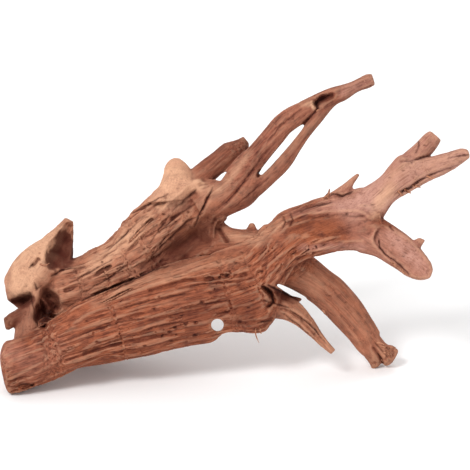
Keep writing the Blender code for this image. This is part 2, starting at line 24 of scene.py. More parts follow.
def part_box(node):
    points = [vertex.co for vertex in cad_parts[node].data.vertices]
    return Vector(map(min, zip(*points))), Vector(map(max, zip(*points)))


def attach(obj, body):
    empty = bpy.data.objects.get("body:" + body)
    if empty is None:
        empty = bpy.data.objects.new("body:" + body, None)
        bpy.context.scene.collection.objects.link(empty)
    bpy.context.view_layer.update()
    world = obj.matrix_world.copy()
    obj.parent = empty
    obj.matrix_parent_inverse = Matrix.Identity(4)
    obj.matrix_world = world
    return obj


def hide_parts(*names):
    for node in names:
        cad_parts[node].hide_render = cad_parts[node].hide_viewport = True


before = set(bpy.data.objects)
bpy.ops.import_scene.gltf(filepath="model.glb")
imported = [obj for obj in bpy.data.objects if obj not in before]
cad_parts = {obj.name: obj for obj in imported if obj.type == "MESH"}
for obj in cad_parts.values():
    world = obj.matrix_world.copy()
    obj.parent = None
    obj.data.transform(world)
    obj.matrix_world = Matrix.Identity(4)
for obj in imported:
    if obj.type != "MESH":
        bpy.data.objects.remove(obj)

log = logging.getLogger("mangrove_root")

Row = tuple[float, ...]
Stroke = list[Row]
Stretch = tuple[Row, Row, Row, Row]
Span = tuple[float, float]
Colour = tuple[float, float, float]

MM = 0.001
SHEET_LEAN = math.radians(22)
SHEET_BASE = 400.0  # the y that stands for height 0
SHEET_SHIFT = (-234.636, -87.039, 2.344)  # mm, from the leaning sheet to the frame
PHOTO_SIDE = 470.0  # mm of the sheet that the photograph shows, across and down
FAR = 400.0  # mm, clear of the root on every side
ELSEWHERE = 400.0  # a stretch of the noise that nothing else reads
GRAIN_GROUPS = 4  # the patterns of grain that are kept apart where limbs meet
GRAIN_RUN = 0.07  # how much of a run along a limb the pattern of its grain keeps

# How high the grain stands, then the ribs: x and y of one edge, x and y of the other, depth of the middle and
# half of the thickness.
LIMBS: dict[str, tuple[float, list[Row]]] = {
    "trunk": (2.4, [
        (1, 354, 2, 366, 24, 12), (4, 345, 6, 384, 24, 20), (11, 340, 13, 392, 24, 25),
        (33, 331, 41, 384, 27, 27), (58, 317, 75, 369, 31, 29), (84, 300, 100, 362, 34, 31),
        (106, 290, 123, 359, 36, 32), (140, 275, 155, 353, 37, 33), (172, 266, 186, 346, 38, 33),
        (203, 258, 212, 341, 38, 32), (214, 254, 224, 333, 38, 31), (228, 250, 240, 331, 37, 30),
        (244, 243, 262, 332, 36, 28), (253, 236, 272, 322, 35, 26), (262, 229, 278, 300, 33, 25),
        (270, 223, 286, 280, 32, 25), (282, 214, 296, 265, 30, 25), (300, 207, 312, 257, 29, 25),
        (320, 199, 330, 252, 27, 25), (342, 195, 350, 250, 26, 24), (362, 190, 368, 251, 25, 24),
        (376, 196, 384, 240, 25, 17),
    ]),
    "saddle": (0.8, [
        (200, 226, 206, 270, 66, 18), (221, 222, 224, 268, 60, 17), (230, 227.5, 238, 266, 53, 17),
        (245, 229.5, 252, 266, 46, 18), (262, 229, 268, 266, 38, 18), (280, 217, 286, 258, 32, 18),
    ]),
    "saddle_knot": (0.2, [
        (243, 236, 260, 236, 46, 8), (247, 229, 257, 230, 46, 5), (250, 223, 254, 223, 46, 3),
    ]),
    "spike": (0.3, [
        (320, 202, 346, 206, 25, 8), (329, 194, 350, 197, 24, 6), (338, 188, 351, 190, 23, 4.5),
        (346, 182, 353, 184, 22, 3.5), (352, 177, 356.5, 179, 22, 3), (357, 173.5, 359, 175, 22, 2),
    ]),
    "far_branch": (1.0, [
        (345, 198, 366, 244, 25, 20), (366, 187, 386, 212, 24, 18), (380, 177, 394, 201, 22, 17),
        (390, 165, 405, 194, 20, 15), (400, 156, 417, 187, 18, 14), (416, 158, 430, 180, 17, 12),
        (430, 157, 441, 175, 16, 10), (446, 153, 454, 168, 15, 8), (460, 149, 464, 161, 14, 6.5),
        (466.5, 150.5, 469, 157, 14, 5),
    ]),
    "far_branch_stub": (0.7, [
        (388, 168, 408, 180, 20, 11), (402, 155, 421, 164, 22, 11), (414, 145, 431, 154, 24, 9),
        (424, 135, 437, 146, 26, 8.5), (430, 131.5, 440, 140, 27, 8),
    ]),
    "sawn_lobe": (1.0, [
        (360, 205, 358, 252, 26, 21), (384, 220, 374, 256, 22, 20), (396, 228, 386, 263, 18, 18),
        (407, 236, 396, 269, 14, 16), (417, 246, 406, 276, 11, 13), (425, 256, 416, 279, 9, 11),
        (430, 264, 424, 279, 8, 8), (431.5, 270, 429, 277, 8, 5),
    ]),
    "lobe_spur": (0.2, [
        (404, 243, 416, 252, 12, 6), (412, 240.5, 420, 246, 11, 4), (418, 237.5, 424, 240, 10, 3),
    ]),
    "leg": (1.8, [
        (262, 250, 246, 284, 42, 16), (285, 245, 266, 284, 47, 18), (301, 249, 282, 286, 53, 19),
        (316, 259, 296, 292, 60, 19), (330, 271, 311, 302, 66, 18.5), (343, 281, 324, 313, 71, 18),
        (355, 294, 336, 325, 75, 17), (365, 308, 348, 338, 78, 16), (374, 322, 358, 350, 80, 14),
        (381, 334, 366, 357, 82, 12),
    ]),
    "leg_near_toe": (0.6, [
        (380, 336, 361, 350, 81, 12), (383, 351, 367, 359, 82, 10), (383, 362, 371, 365, 83, 7),
        (379, 368, 374, 370, 84, 4),
    ]),
    "leg_far_toe": (0.8, [
        (376, 330, 368, 346, 82, 12), (387, 344, 380, 360, 82, 11), (395, 347, 388, 366, 82, 9),
        (400, 352, 394, 363, 82, 6),
    ]),
    "split_leg": (1.0, [
        (248, 280, 250, 318, 39, 16), (266, 286, 270, 318, 40, 14), (280, 292, 283, 319, 41, 12),
        (292, 298, 291, 322, 43, 10.5), (302, 305, 299, 327, 44, 9), (310, 315, 306, 333, 45, 7.5),
        (317, 325, 313, 339, 46, 6.5), (324, 336, 320, 345, 47, 5), (331, 345, 327, 351, 48, 4.2),
        (335.5, 350, 331, 354.5, 48, 3.4),
    ]),
    "split_leg_fin": (0.4, [
        (260, 281, 262, 298, 48, 7), (274, 283.5, 275, 303, 50, 6), (284, 288.5, 284, 305, 52, 5),
        (292, 293, 292, 305, 53, 4), (304, 296.5, 301, 301, 54, 2.5),
    ]),
    "upper_body": (2.8, [
        (26, 262, 34, 312, 64, 14), (48, 262, 58, 320, 66, 26), (72, 259, 88, 314, 67, 30),
        (96, 248, 118, 302, 68, 32), (117, 232, 150, 292, 70, 33), (131, 214, 182, 284, 73, 33),
        (149, 198, 207, 268, 74, 33), (166, 186, 217, 254, 70, 32), (192, 180, 218, 232, 60, 28),
        (213, 181, 226, 217, 50, 20),
    ]),
    "upper_branch": (1.2, [
        (188, 192, 208, 226, 54, 24), (212, 181, 231, 214.5, 46, 22), (230, 166, 252, 204, 39, 19),
        (243, 153, 264, 186, 36, 15), (252, 145, 266, 166, 34, 12), (264, 130.5, 277.5, 152, 31, 11),
        (274, 118.5, 289, 137, 29, 11), (286, 109.5, 299, 128.5, 28, 10), (300, 102.5, 309, 120, 27, 9),
        (314, 95.5, 321, 114, 27, 8), (328, 89.5, 335, 104.5, 27, 7.5), (340, 86, 346, 99.5, 27, 7),
        (352, 82, 358, 92, 27, 6), (366, 75, 370, 87.5, 27, 6), (371.5, 75, 374.5, 84.5, 27, 5.5),
    ]),
    "twig": (0.7, [
        (234, 186, 243, 209, 40, 14), (248, 177, 260.5, 195, 35, 11), (260, 172, 275, 181.5, 32, 9),
        (269, 164, 285, 172, 31, 8), (278.5, 153.5, 293, 162, 30, 7.5), (288.5, 142.5, 302, 147.5, 29, 6.5),
        (299, 130, 312, 133.5, 28, 6.5), (306, 122.5, 322, 121.5, 28, 6.5), (314, 112, 332, 108.5, 28, 6.5),
        (326, 100, 341, 101, 28, 6),
    ]),
    "pale_lobe": (0.8, [
        (146, 203, 208, 198, 58, 22), (158, 188, 200, 185, 57, 18), (163, 176, 193, 175, 57, 14),
        (165, 166, 188, 166, 58, 11), (169.5, 160, 183, 161, 58, 7), (174, 157.5, 179, 158, 58, 4),
    ]),
    "broken_stub": (0.9, [
        (176, 182, 200, 202, 60, 15), (192, 169, 212, 183, 62, 13), (203, 160.5, 222, 175, 64, 12.5),
        (214, 152, 233, 168, 65, 12), (224, 144, 243, 161, 66, 11), (236, 140.5, 247.5, 152, 67, 8),
        (243.5, 136, 248.5, 142, 68, 4),
    ]),
    "stump": (2.6, [
        (7, 300, 20, 310, 54, 9), (5, 290, 36, 304, 56, 18), (5.5, 280, 48, 296, 58, 25),
        (9, 268, 58, 284, 60, 29), (16, 258.5, 64, 276, 62, 30), (30, 247, 69, 266, 64, 28),
        (42, 238, 71.5, 256, 66, 25), (53, 229, 72, 245, 68, 20), (61, 221.5, 72, 234, 70, 14),
        (65, 217.5, 72.5, 221.5, 70, 8),
    ]),
    "strut": (0.6, [
        (38, 292, 42, 318, 46, 10), (26, 303, 29, 324, 40, 8), (16, 310, 18, 325, 37, 7),
        (8, 315, 9.5, 329.5, 35, 6), (4, 319, 6, 329, 35, 4),
    ]),
    "post": (0.5, [
        (27, 276, 48, 276, 48, 14), (28, 290, 43, 291, 42, 9), (29, 303, 39, 304, 40, 7),
        (18, 322, 38, 322, 38, 9), (15, 334, 38, 331, 35, 12), (14, 348, 42, 344, 30, 14),
    ]),
    "rear_wall": (3.2, [
        (30, 262, 70, 262, 80, 16), (26, 285, 92, 282, 92, 20), (28, 310, 98, 302, 104, 20),
        (34, 332, 92, 326, 114, 17), (44, 346, 82, 342, 120, 13), (54, 352, 72, 350, 123, 9),
    ]),
    "rear_root": (3.2, [
        (40, 296, 62, 340, 104, 17), (70, 284, 92, 330, 100, 20), (105, 266, 130, 318, 92, 23),
        (140, 244, 170, 302, 84, 24), (175, 225, 205, 285, 76, 24), (205, 215, 235, 270, 66, 20),
        (238, 233, 262, 268, 52, 16),
    ]),
}

# Each place of a stroke: x, y, half of the width, and how deep it presses. Below 0 it stands out.
FRONT_STROKES: dict[str, Stroke] = {
    "stump_hollow": [(68, 227, 6, 9), (64, 240, 12, 20), (58, 253, 14, 25), (54, 261, 10, 16)],
    "stump_knot": [(39, 259, 3.2, 4.9), (34, 265, 2.8, 4.2)],
    "gap_under_stump": [(15, 302, 5.4, 12), (22, 300, 7.2, 18), (29, 297, 6, 14)],
    "hollow_by_post": [(46, 293, 7, 11), (53, 300, 8, 13), (56, 310, 6, 11), (50, 318, 5, 10)],
    "black_hollow": [(40, 309, 6, 20), (41, 318, 7.5, 28), (44, 325, 5, 20)],
    "ridge_by_post": [(43, 299, 3, -3), (52, 312, 3, -4), (66, 311, 3, -3), (80, 305, 3, -2)],
    "body_hollow": [
        (208, 225, 12, 8), (197, 236, 18, 16), (181, 246, 20, 17), (160, 258, 14, 9), (144, 267, 9, 4),
    ],
    "body_groove": [(66, 290, 3, 2.5), (95, 276, 3, 3), (125, 254, 3, 3), (148, 232, 3, 3)],
    "body_upper_groove": [(76, 270, 3, 2), (102, 259, 3, 3), (126, 240, 3, 2)],
    "trunk_crack": [
        (78, 303, 2.2, 3.6), (100, 293, 2.7, 7.8), (120, 284, 3.2, 10.2), (140, 276, 3.2, 9.6),
        (156, 270, 2.5, 6),
    ],
    "crest_crack": [(98, 305, 1.5, 2), (114, 298, 1.8, 3.5), (133, 288, 1.5, 2)],
    "plate": [(160, 212, 4, -2), (174, 199, 6, -4), (187, 188, 7, -5), (198, 182, 5, -3)],
    "plate_foot": [(172, 218, 4.5, 3.2), (184, 206, 5.4, 4), (196, 195, 4.5, 3.2)],
    "ledge": [(131, 215, 4, -2), (148, 200, 4, -3), (172, 189, 4, -2)],
    "ledge_groove": [(136, 221, 2.1, 2), (150, 209, 2.1, 2.5), (166, 198, 1.8, 2)],
    "splinter_hole": [(152, 219, 2.1, 2), (142, 228, 2.8, 3.6), (131, 240, 2.8, 2.8)],
    "branch_crack": [(213, 188, 1.3, 2.5), (208, 199, 1.4, 4), (202, 211, 1.4, 4), (195, 224, 1.3, 3)],
    "branch_pit": [(220, 230, 2.8, 4.2), (227, 241, 3.2, 3.5)],
    "branch_groove": [(214, 214, 3, 1.2), (232, 196, 3, 1.8), (250, 174, 3, 1.8), (260, 166, 2.5, 2.4)],
    "slit_end": [(258, 176, 2.2, 6), (260, 171, 2.5, 9)],
    "strand_join": [(303, 124, 1.8, 4.2), (310, 117, 1.9, 4.2), (317, 110, 1.9, 3.5)],
    "branch_pocket": [(315, 104, 4, 6), (322, 99, 5, 8), (331, 96, 4, 6)],
    "limb_dish": [
        (290, 229, 6, 2), (312, 228, 11, 4), (338, 228, 13, 6), (357, 229, 12, 5), (366, 231, 8, 3),
    ],
    "dish_lip": [
        (285, 220, 2.5, -1.5), (305, 213, 3, -2), (335, 210, 3, -2), (360, 211, 3, -2),
        (371, 219, 3, -1.5),
    ],
    "limb_furrow": [(288, 216, 1.8, 2.4), (304, 208, 1.9, 2.4), (330, 201, 1.8, 1.8)],
    "spike_crease": [(330, 196, 1.7, 1.8), (342, 197, 1.7, 2.4), (350, 194, 1.5, 1.8)],
    "stub_furrow": [(399, 162, 1.5, 2), (415, 160, 1.7, 3), (430, 156, 2.1, 3)],
    "flake_furrow": [
        (394, 194, 1.8, 2), (409, 187, 2.2, 3), (425, 177, 2, 3), (441, 171, 1.8, 2.5), (456, 166, 1.5, 2),
    ],
    "hollow_tip": [(456, 156, 1.9, 1.5), (463, 155, 2.4, 2.5)],
    "lobe_groove": [
        (378, 238, 1.8, 2), (379, 248, 2, 3), (386, 256, 2, 3), (396, 265, 2, 3), (408, 275, 1.8, 2),
    ],
    "trunk_end_fold": [(263, 287, 3, 6), (270, 293, 4, 10), (273, 300, 4, 10), (268, 306, 2.6, 5)],
    "fin_hollow": [(277, 292, 4, 6), (287, 298, 3.5, 5)],
    "split_grooves": [
        (264, 304, 1.8, 1.8), (284, 309, 1.9, 3), (300, 319, 1.9, 3), (312, 332, 1.8, 2.4),
        (326, 346, 1.4, 1.8),
    ],
    "leg_groove": [(294, 268, 3, 0.8), (325, 295, 3, 1), (350, 324, 3, 1), (368, 345, 3, 1.2)],
    "toe_split": [(374, 348, 1.9, 2), (379, 355, 2.1, 3), (383, 363, 2.4, 4)],
    "trunk_low_groove": [
        (62, 361, 2.4, 1.4), (110, 345, 2.6, 2.1), (160, 335, 2.6, 2.1), (205, 333, 2.4, 1.4),
    ],
    "trunk_mid_groove": [
        (70, 336, 2.4, 1.4), (100, 326, 2.4, 1.8), (140, 314, 2.6, 2.1), (178, 306, 2.4, 1.4),
    ],
    "trunk_high_groove": [(150, 290, 2.4, 2), (185, 280, 2.6, 3), (215, 278, 2.4, 3), (246, 274, 2.4, 2)],
    "edge_crack": [(238, 322, 1.2, 1.5), (255, 321, 1.3, 3), (272, 318, 1.3, 3)],
    "butt_hollow": [(14, 388, 3, 3), (22, 385, 4, 5), (34, 383, 3, 4)],
}
BACK_STROKES: dict[str, Stroke] = {
    "behind_hole": [(192, 330, 15, 14), (217, 322, 20, 35), (242, 314, 15, 15)],
    "back_hollow": [(86, 340, 12, 6), (122, 330, 16, 12), (156, 322, 17, 15), (185, 308, 14, 9)],
    "back_groove": [(78, 302, 4, 4), (118, 284, 4.5, 6), (166, 258, 4.5, 6), (214, 236, 4, 5)],
    "back_crack": [(60, 324, 3, 6), (58, 302, 3, 9), (66, 280, 3, 7), (88, 262, 3, 5)],
    "back_body_hollow": [(112, 250, 8, 4), (140, 228, 12, 8), (166, 208, 9, 5)],
    "back_upper_groove": [(150, 262, 3, 3), (180, 236, 4, 6), (204, 206, 3, 4)],
    "back_low_groove": [(104, 300, 3, 4), (150, 282, 3.5, 5), (196, 262, 3, 4)],
    "back_branch_groove": [(226, 196, 3, 3), (252, 160, 3, 3), (284, 122, 2.6, 3)],
    "back_knot": [(96, 276, 6, -4), (104, 272, 5, -3)],
    "back_limb_groove": [(285, 235, 3, 3), (325, 222, 4, 4), (365, 215, 3, 3)],
    "back_leg_groove": [(292, 262, 3, 3), (325, 288, 3, 3), (352, 320, 3, 3)],
    "back_stump_groove": [(30, 300, 3, 3), (26, 276, 3.5, 6), (40, 254, 3.5, 6), (60, 236, 3, 4)],
    "back_stump_crack": [(44, 296, 2.6, 4), (46, 274, 3, 8), (58, 256, 2.6, 5)],
    "back_foot_grooves": [(40, 334, 3, 3), (42, 312, 3.5, 6), (38, 290, 3, 4)],
    "back_foot_furrow": [(80, 332, 3, 3), (78, 312, 3.5, 6), (92, 292, 3, 4)],
    "back_limb_furrow": [(300, 246, 3, 3), (330, 240, 3.5, 5), (360, 232, 3, 3)],
    "back_fork_groove": [(380, 196, 2.6, 3), (400, 178, 3, 5), (428, 166, 2.6, 3)],
}

# Finer carving than the plain solid holds: cracks, pits, knots and worn edges.
FINE_STROKES: dict[str, Stroke] = {
    "trunk_crack_deep": [
        (82, 300.5, 1.1, 3), (101, 292.5, 1.4, 5), (120, 284, 1.7, 8), (138, 277.5, 1.5, 6),
        (152, 271, 1.1, 4), (170, 265.5, 1, 2),
    ],
    "trunk_crack_low": [(112, 291, 0.9, 2), (124, 285.5, 1.1, 4), (134, 281, 0.9, 2)],
    "crest_crack_deep": [(102, 302.5, 0.9, 2), (115, 297, 1.3, 4), (131, 289, 0.9, 3)],
    "branch_crack_deep": [
        (212.5, 188, 0.9, 2), (209, 196, 1.1, 4), (206.5, 199, 1.1, 4), (203, 209, 1.2, 4),
        (199.5, 214, 1, 3), (194.5, 226, 0.9, 2),
    ],
    "splinter_deep": [(153, 219, 1, 1.5), (144, 226, 1.4, 2.6), (134, 236, 1.4, 2.4), (129, 243, 1, 1.5)],
    "splinter_over": [(158, 222, 1.3, -1.5), (148, 231, 1.6, -2), (138, 244, 1.3, -1.5)],
    "plate_lip": [(163, 208, 1.6, -1.5), (176, 197, 2.2, -2.2), (188, 186, 2.2, -2.2), (200, 182, 1.6, -1.2)],
    "plate_shade": [(172, 211, 2, 1.4), (183, 202, 2.4, 2.2), (196, 190, 2, 1.6)],
    "ledge_crack": [(133, 213, 1, 1.4), (150, 203, 1.2, 2.6), (168, 194, 1, 1.6)],
    "fan_a": [(160, 232, 1.3, 1.6), (176, 216, 1.5, 2.2), (196, 203, 1.2, 1.4)],
    "fan_b": [(168, 240, 1.3, 1.6), (186, 222, 1.5, 2.4), (203, 214, 1.2, 1.4)],
    "fan_c": [(150, 243, 1.2, 1.4), (162, 226, 1.3, 2), (170, 214, 1.2, 1.5)],
    "body_check_a": [(70, 283, 1, 1.4), (92, 271, 1.3, 2.6), (112, 260, 1, 1.4)],
    "body_check_b": [(84, 292, 1, 1.4), (108, 279, 1.4, 2.8), (128, 264, 1, 1.6)],
    "body_check_c": [(108, 250, 1, 1.4), (124, 236, 1.3, 2.6), (137, 222, 1, 1.4)],
    "trunk_check_a": [(60, 343, 1, 1), (92, 330, 1.3, 2.2), (124, 321, 1.2, 1.6), (150, 317, 1, 1)],
    "trunk_check_b": [(84, 352, 1, 1), (120, 338, 1.3, 2), (156, 330, 1, 1)],
    "trunk_check_c": [(120, 309, 1, 1.2), (150, 300, 1.4, 2.4), (186, 293, 1.1, 1.4)],
    "trunk_check_d": [(166, 312, 1, 1.2), (200, 304, 1.3, 2), (232, 300, 1, 1.2)],
    "trunk_check_e": [(176, 288, 1, 1), (206, 283, 1.3, 2), (240, 281, 1, 1.2)],
    "trunk_check_f": [(140, 331, 1, 1), (170, 323, 1.3, 2), (200, 320, 1, 1.2)],
    "limb_check_a": [(283, 217, 1.1, 2), (285, 223, 1.2, 2.6), (283, 228, 1, 1.6)],
    "limb_check_b": [(290, 214, 1, 2), (292, 220, 1.2, 2.6), (289, 226, 1, 1.6)],
    "limb_check_c": [(300, 212, 1, 1.8), (316, 206, 1.2, 2.6), (332, 202.5, 1, 1.6)],
    "limb_edge": [
        (286, 221.5, 1.4, -1), (301, 215, 1.6, -1.4), (330, 212, 1.6, -1.4), (358, 211.5, 1.6, -1.2),
        (368, 217, 1.4, -1),
    ],
    "dish_step": [(290, 224, 2, 0.8), (310, 218, 2.2, 1.2), (338, 215, 2.2, 1.4), (362, 217, 2, 1)],
    "spike_dark": [(332, 194, 1.3, 2), (343, 196, 1.8, 3.4), (351, 192, 1.4, 2.4)],
    "stub_crack": [(404, 162.5, 1, 1.2), (416, 160, 1.2, 2), (429, 156, 1.2, 2)],
    "stub_ring": [(417, 139, 1.2, 1.6), (418, 146, 1.3, 2), (415, 153, 1.2, 1.6)],
    "flake_crack": [
        (396, 193, 1.2, 1), (408, 188, 1.4, 1.6), (422, 178, 1.2, 1.4), (440, 171.5, 1, 1.2),
        (457, 165, 1, 0.8),
    ],
    "flake_pits": [(398, 195, 1.6, 2), (404, 190, 2, 3), (411, 188, 1.6, 2)],
    "tip_hollow": [(446, 159, 0.9, 1), (456, 157, 1.1, 2), (466, 155.5, 1, 2)],
    "lobe_crack": [
        (378, 240, 1.1, 2), (378.5, 247, 1.3, 3), (384, 254, 1.4, 3.4), (395, 262, 1.4, 3.4),
        (407, 273, 1.2, 2.4),
    ],
    "lobe_dent": [(389, 227, 1.4, 2), (392, 231, 1.4, 2)],
    "end_fold": [
        (262, 286, 1.2, 2), (268, 289, 1.8, 4), (272, 295, 2, 5), (273, 302, 1.6, 4), (269, 306, 1.2, 2),
    ],
    "end_line_a": [(262, 300, 1, 1.6), (274, 303, 1.3, 3), (288, 307.5, 1, 2)],
    "end_ridge": [(262, 304.5, 1.1, -1), (278, 306.5, 1.3, -1.6), (293, 309.5, 1.1, -1)],
    "split_line_a": [(291, 311, 1, 2), (303, 319, 1.3, 3.4), (314, 329, 1.2, 3), (326, 343, 1, 2)],
    "split_line_b": [(284, 314, 1, 1.6), (296, 323, 1.2, 2.6), (308, 333, 1, 2)],
    "fin_dark": [(268, 285, 1.4, 2.5), (280, 291, 2, 4), (292, 297.5, 1.8, 3)],
    "edge_split": [(257, 322.5, 0.9, 2), (263, 321.5, 1.1, 3.4), (271, 320, 1, 3)],
    "leg_check_a": [(290, 262, 1, 0.4), (314, 280, 1, 0.7), (336, 302, 1, 0.4)],
    "leg_check_b": [(312, 272, 1, 0.4), (334, 290, 1, 0.8), (352, 312, 1, 0.5)],
    "leg_check_c": [(338, 312, 1, 0.4), (354, 332, 1, 0.8), (366, 348, 1, 0.6)],
    "toe_crack_a": [(376, 343, 0.9, 1.4), (382, 350, 1.1, 2.4), (388, 358, 0.9, 2)],
    "toe_crack_b": [(379, 354, 1, 1.6), (382, 359, 1.3, 3), (384, 364, 1.4, 4)],
    "branch_line_a": [(226, 204, 1, 1.4), (242, 185, 1.3, 2.4), (256, 165, 1.1, 1.8), (268, 150, 1, 1.2)],
    "branch_line_b": [(236, 206, 1, 1.2), (252, 192, 1.2, 2), (268, 178, 1, 1.4)],
    "branch_line_c": [(268, 141, 1, 1.2), (282, 125, 1.2, 2), (300, 110, 1, 1.4)],
    "pocket_deep": [(317, 108, 2.4, 3), (316, 103, 3, 4), (322, 99.5, 2.6, 3), (331, 96, 1.6, 1.2)],
    "branch_cap": [(311, 101, 1.6, -1.8), (313, 106, 1.8, -2), (312.5, 111, 1.4, -1.2)],
    "pocket_line": [(317, 110, 1, 1.6), (312, 116, 1.2, 2), (306, 121, 1, 1.6)],
    "strand_edge": [(322, 108, 1.2, -1.4), (330, 102, 1.3, -1.8), (337, 96.5, 1.1, -1.2)],
    "slit_root": [(259, 173, 1.6, 8), (259.6, 173, 1.6, 8)],
    "stump_rim": [(50, 240, 1.4, -1.4), (55, 235, 1.6, -2), (60, 229, 1.3, -1.4)],
    "stump_scar": [(35, 283, 1.4, 2), (37, 289, 1.8, 3), (41, 286, 1.4, 2)],
    "knob_pits": [(30, 268, 1.3, 2), (33, 264, 1.6, 3)],
    "post_line": [(30, 292, 0.9, 1.2), (33, 304, 1.1, 2), (35, 316, 0.9, 1.4)],
    "hollow_wall": [(52, 276, 1.3, 2), (62, 270, 1.5, 3), (76, 268, 1.2, 2)],
    "butt_crescent": [(16, 386, 1.3, 1.6), (24, 383, 1.8, 3), (34, 384, 1.3, 2)],
    "knot_branch": [(222, 274, 1.6, 2), (227, 276, 2, 3.4), (230, 273, 1.6, 2)],
    "knot_limb": [(258, 272, 1.3, 2), (262, 271.5, 1.6, 3)],
    "knot_top": [(291.5, 254, 1.1, 1.6), (294.5, 254, 1.2, 2)],
}

# Single worm and rot pits: x, y and half of the width.
PITS: list[Row] = [
    (155, 308, 1.5), (172, 317, 1.6), (182, 315, 1.4), (176, 327, 1.8), (186, 324, 1.6), (196, 322, 1.6),
    (170, 331, 1.5), (195, 335, 1.8), (172, 340, 1.5), (145, 345, 1.4), (203, 302, 1.6), (240, 321, 1.6),
    (132, 318, 1.2), (118, 336, 1.3), (98, 341, 1.2), (226, 312, 1.3), (232, 290, 1.2), (210, 292, 1.2),
    (248, 307, 1.4), (252, 300, 1.2), (196, 290, 1.1), (160, 296, 1.2), (88, 320, 1.2), (66, 351, 1.3),
    (102, 262, 1.3), (118, 268, 1.2), (90, 279, 1.1), (176, 222, 1.3), (164, 214, 1.2), (188, 212, 1.4),
    (372, 205, 1.2), (364, 206, 1.1), (346, 214, 1.1), (392, 245, 1.1), (402, 256, 1.2), (397, 240, 1.0),
    (316, 262, 1.1), (330, 296, 1.2), (346, 302, 1.1), (250, 265, 1.2), (242, 252, 1.1), (236, 262, 1.2),
    (218, 262, 1.2), (205, 268, 1.1), (410, 163, 1.2), (402, 171, 1.1), (388, 178, 1.1), (424, 146, 1.1),
]

# Knots that the grain bends round: x, y and radius.
KNOTS: list[Row] = [
    (226, 275, 5), (260, 272, 4), (293, 254, 3.5), (36, 286, 5), (34, 262, 5), (240, 322, 4), (352, 205, 5),
    (25, 383, 6), (330, 290, 4), (395, 247, 5), (150, 209, 5),
]

# The line that the grain follows where the ribs turn too sharply for it: x, y, depth and radius.
GRAIN_LINES: dict[str, list[Row]] = {
    "trunk": [
        (6, 362, 24, 13), (60, 345, 28, 27), (120, 326, 32, 32), (180, 309, 34, 33), (225, 299, 35, 33),
        (256, 287, 35, 30), (282, 264, 34, 26), (308, 244, 32, 25), (344, 230, 28, 25), (384, 218, 25, 21),
    ],
}

# Each place of a loose fibre: x, y, radius, and how far it stands out from the skin at its root.
FIBRES: dict[str, list[Row]] = {
    "hair": [(256, 328, 0.9, -1), (255.5, 333, 0.7, 0), (257, 338, 0.5, 0), (259, 342.5, 0.2, 0)],
    "hair_stub": [(260, 327, 1.2, -1), (260.5, 331, 0.9, 0), (261, 333.5, 0.4, 0)],
    "tiny_spike": [(326, 199, 2, -1), (328, 194, 1.4, 0), (329, 189, 0.5, 0)],
    "tiny_spike_low": [(322, 200, 1.4, -1), (325, 196.5, 1, 0), (327, 193.5, 0.4, 0)],
    "toe_a": [(382, 348, 1.1, -1), (387, 347.5, 1, 0), (391, 349, 0.4, 0)],
    "toe_b": [(383, 354, 1.1, -1), (388, 352.5, 1, 0.2), (393, 354, 0.4, 0)],
    "toe_c": [(384, 359, 1.1, -1), (388, 358, 1, 0), (392, 360, 0.4, -0.5)],
    "toe_d": [(382, 360, 1.1, -1), (386, 363, 0.9, 0), (388, 366.5, 0.4, -1)],
    "toe_e": [(377, 343, 1, -1), (382, 344, 0.9, 0), (386, 346, 0.4, 0)],
    "toe_f": [(386, 351, 1, -1), (390, 355, 0.9, 0.3), (392, 360, 0.4, 0)],
    "fleck_a": [(403, 189, 1.5, -1), (407, 192, 1.2, 1), (410, 193.5, 0.5, 1)],
    "fleck_b": [(397, 191, 1.3, -1), (400, 194.5, 1, 0.5), (402, 196.5, 0.4, 0.5)],
    "fleck_c": [(411, 185, 1.2, -1), (416, 187, 1, 1), (420, 187.5, 0.4, 1)],
    "fleck_d": [(425, 176, 1.1, -1), (430, 178.5, 0.9, 1), (435, 178, 0.3, 1)],
    "lobe_fleck_a": [(390, 261, 1.3, -1), (394, 265.5, 1, 0), (398, 268, 0.4, 0)],
    "lobe_fleck_b": [(400, 268, 1.2, -1), (403, 272.5, 1, 0), (408, 275, 0.4, 0)],
    "leg_fleck": [(323, 309, 1.2, -1), (325, 313.5, 0.9, 0), (328, 316, 0.3, 0)],
    "splinter_a": [(129, 243, 1, -0.5), (138, 233, 0.9, 1.4), (150, 221, 0.4, 0.5)],
    "splinter_b": [(134, 245, 0.9, -0.5), (143, 235, 0.8, 1.2), (153, 226, 0.3, 0.5)],
    "splinter_c": [(104, 303, 0.9, -0.5), (118, 296, 0.8, 0.6), (132, 288.5, 0.3, 0.3)],
    "splinter_d": [(86, 301, 0.9, -0.5), (100, 294.5, 0.8, 0.6), (116, 287, 0.3, 0.3)],
    "strand": [(316, 112, 1.1, -0.5), (325, 105.5, 1, 1), (336, 97, 0.5, 0.2)],
    "stump_fibre": [(40, 264, 1, -0.5), (45, 265.5, 0.9, 1), (50, 263, 0.3, 1.5)],
}

# Each place of a sawn face: x, y, half of the width, and the depth of the flat.
SAWN_FACES: dict[str, Stroke] = {
    "lobe_face": [(386, 238, 13, 7), (404, 252, 15, 5), (425, 270, 12, 3)],
}

# Narrow gaps that show daylight, as outlines on the sheet.
SLITS: dict[str, list[Row]] = {
    "branch_slit": [
        (258, 175), (262, 168), (270, 157.5), (280, 145.5), (290, 133), (299, 126.5),
        (306, 123), (301, 131), (291, 143.5), (281, 155), (271, 166), (262, 175),
    ],
    "stub_slit": [(214.5, 180), (221, 174), (228.5, 169.5), (224.5, 176), (221, 181)],
    "fin_slit": [
        (273, 283), (280, 284), (290, 288.5), (300, 293.8), (308, 298.5), (305, 300.5),
        (299, 297.6), (292, 296), (285, 291.6), (279, 287.5),
    ],
}


def on_sheet(x: float, y: float, depth: float) -> Vector:
    """The place of a point of the upright sheet, in metres: x right, y back, z up."""
    return Vector((x, depth, SHEET_BASE - y)) * MM


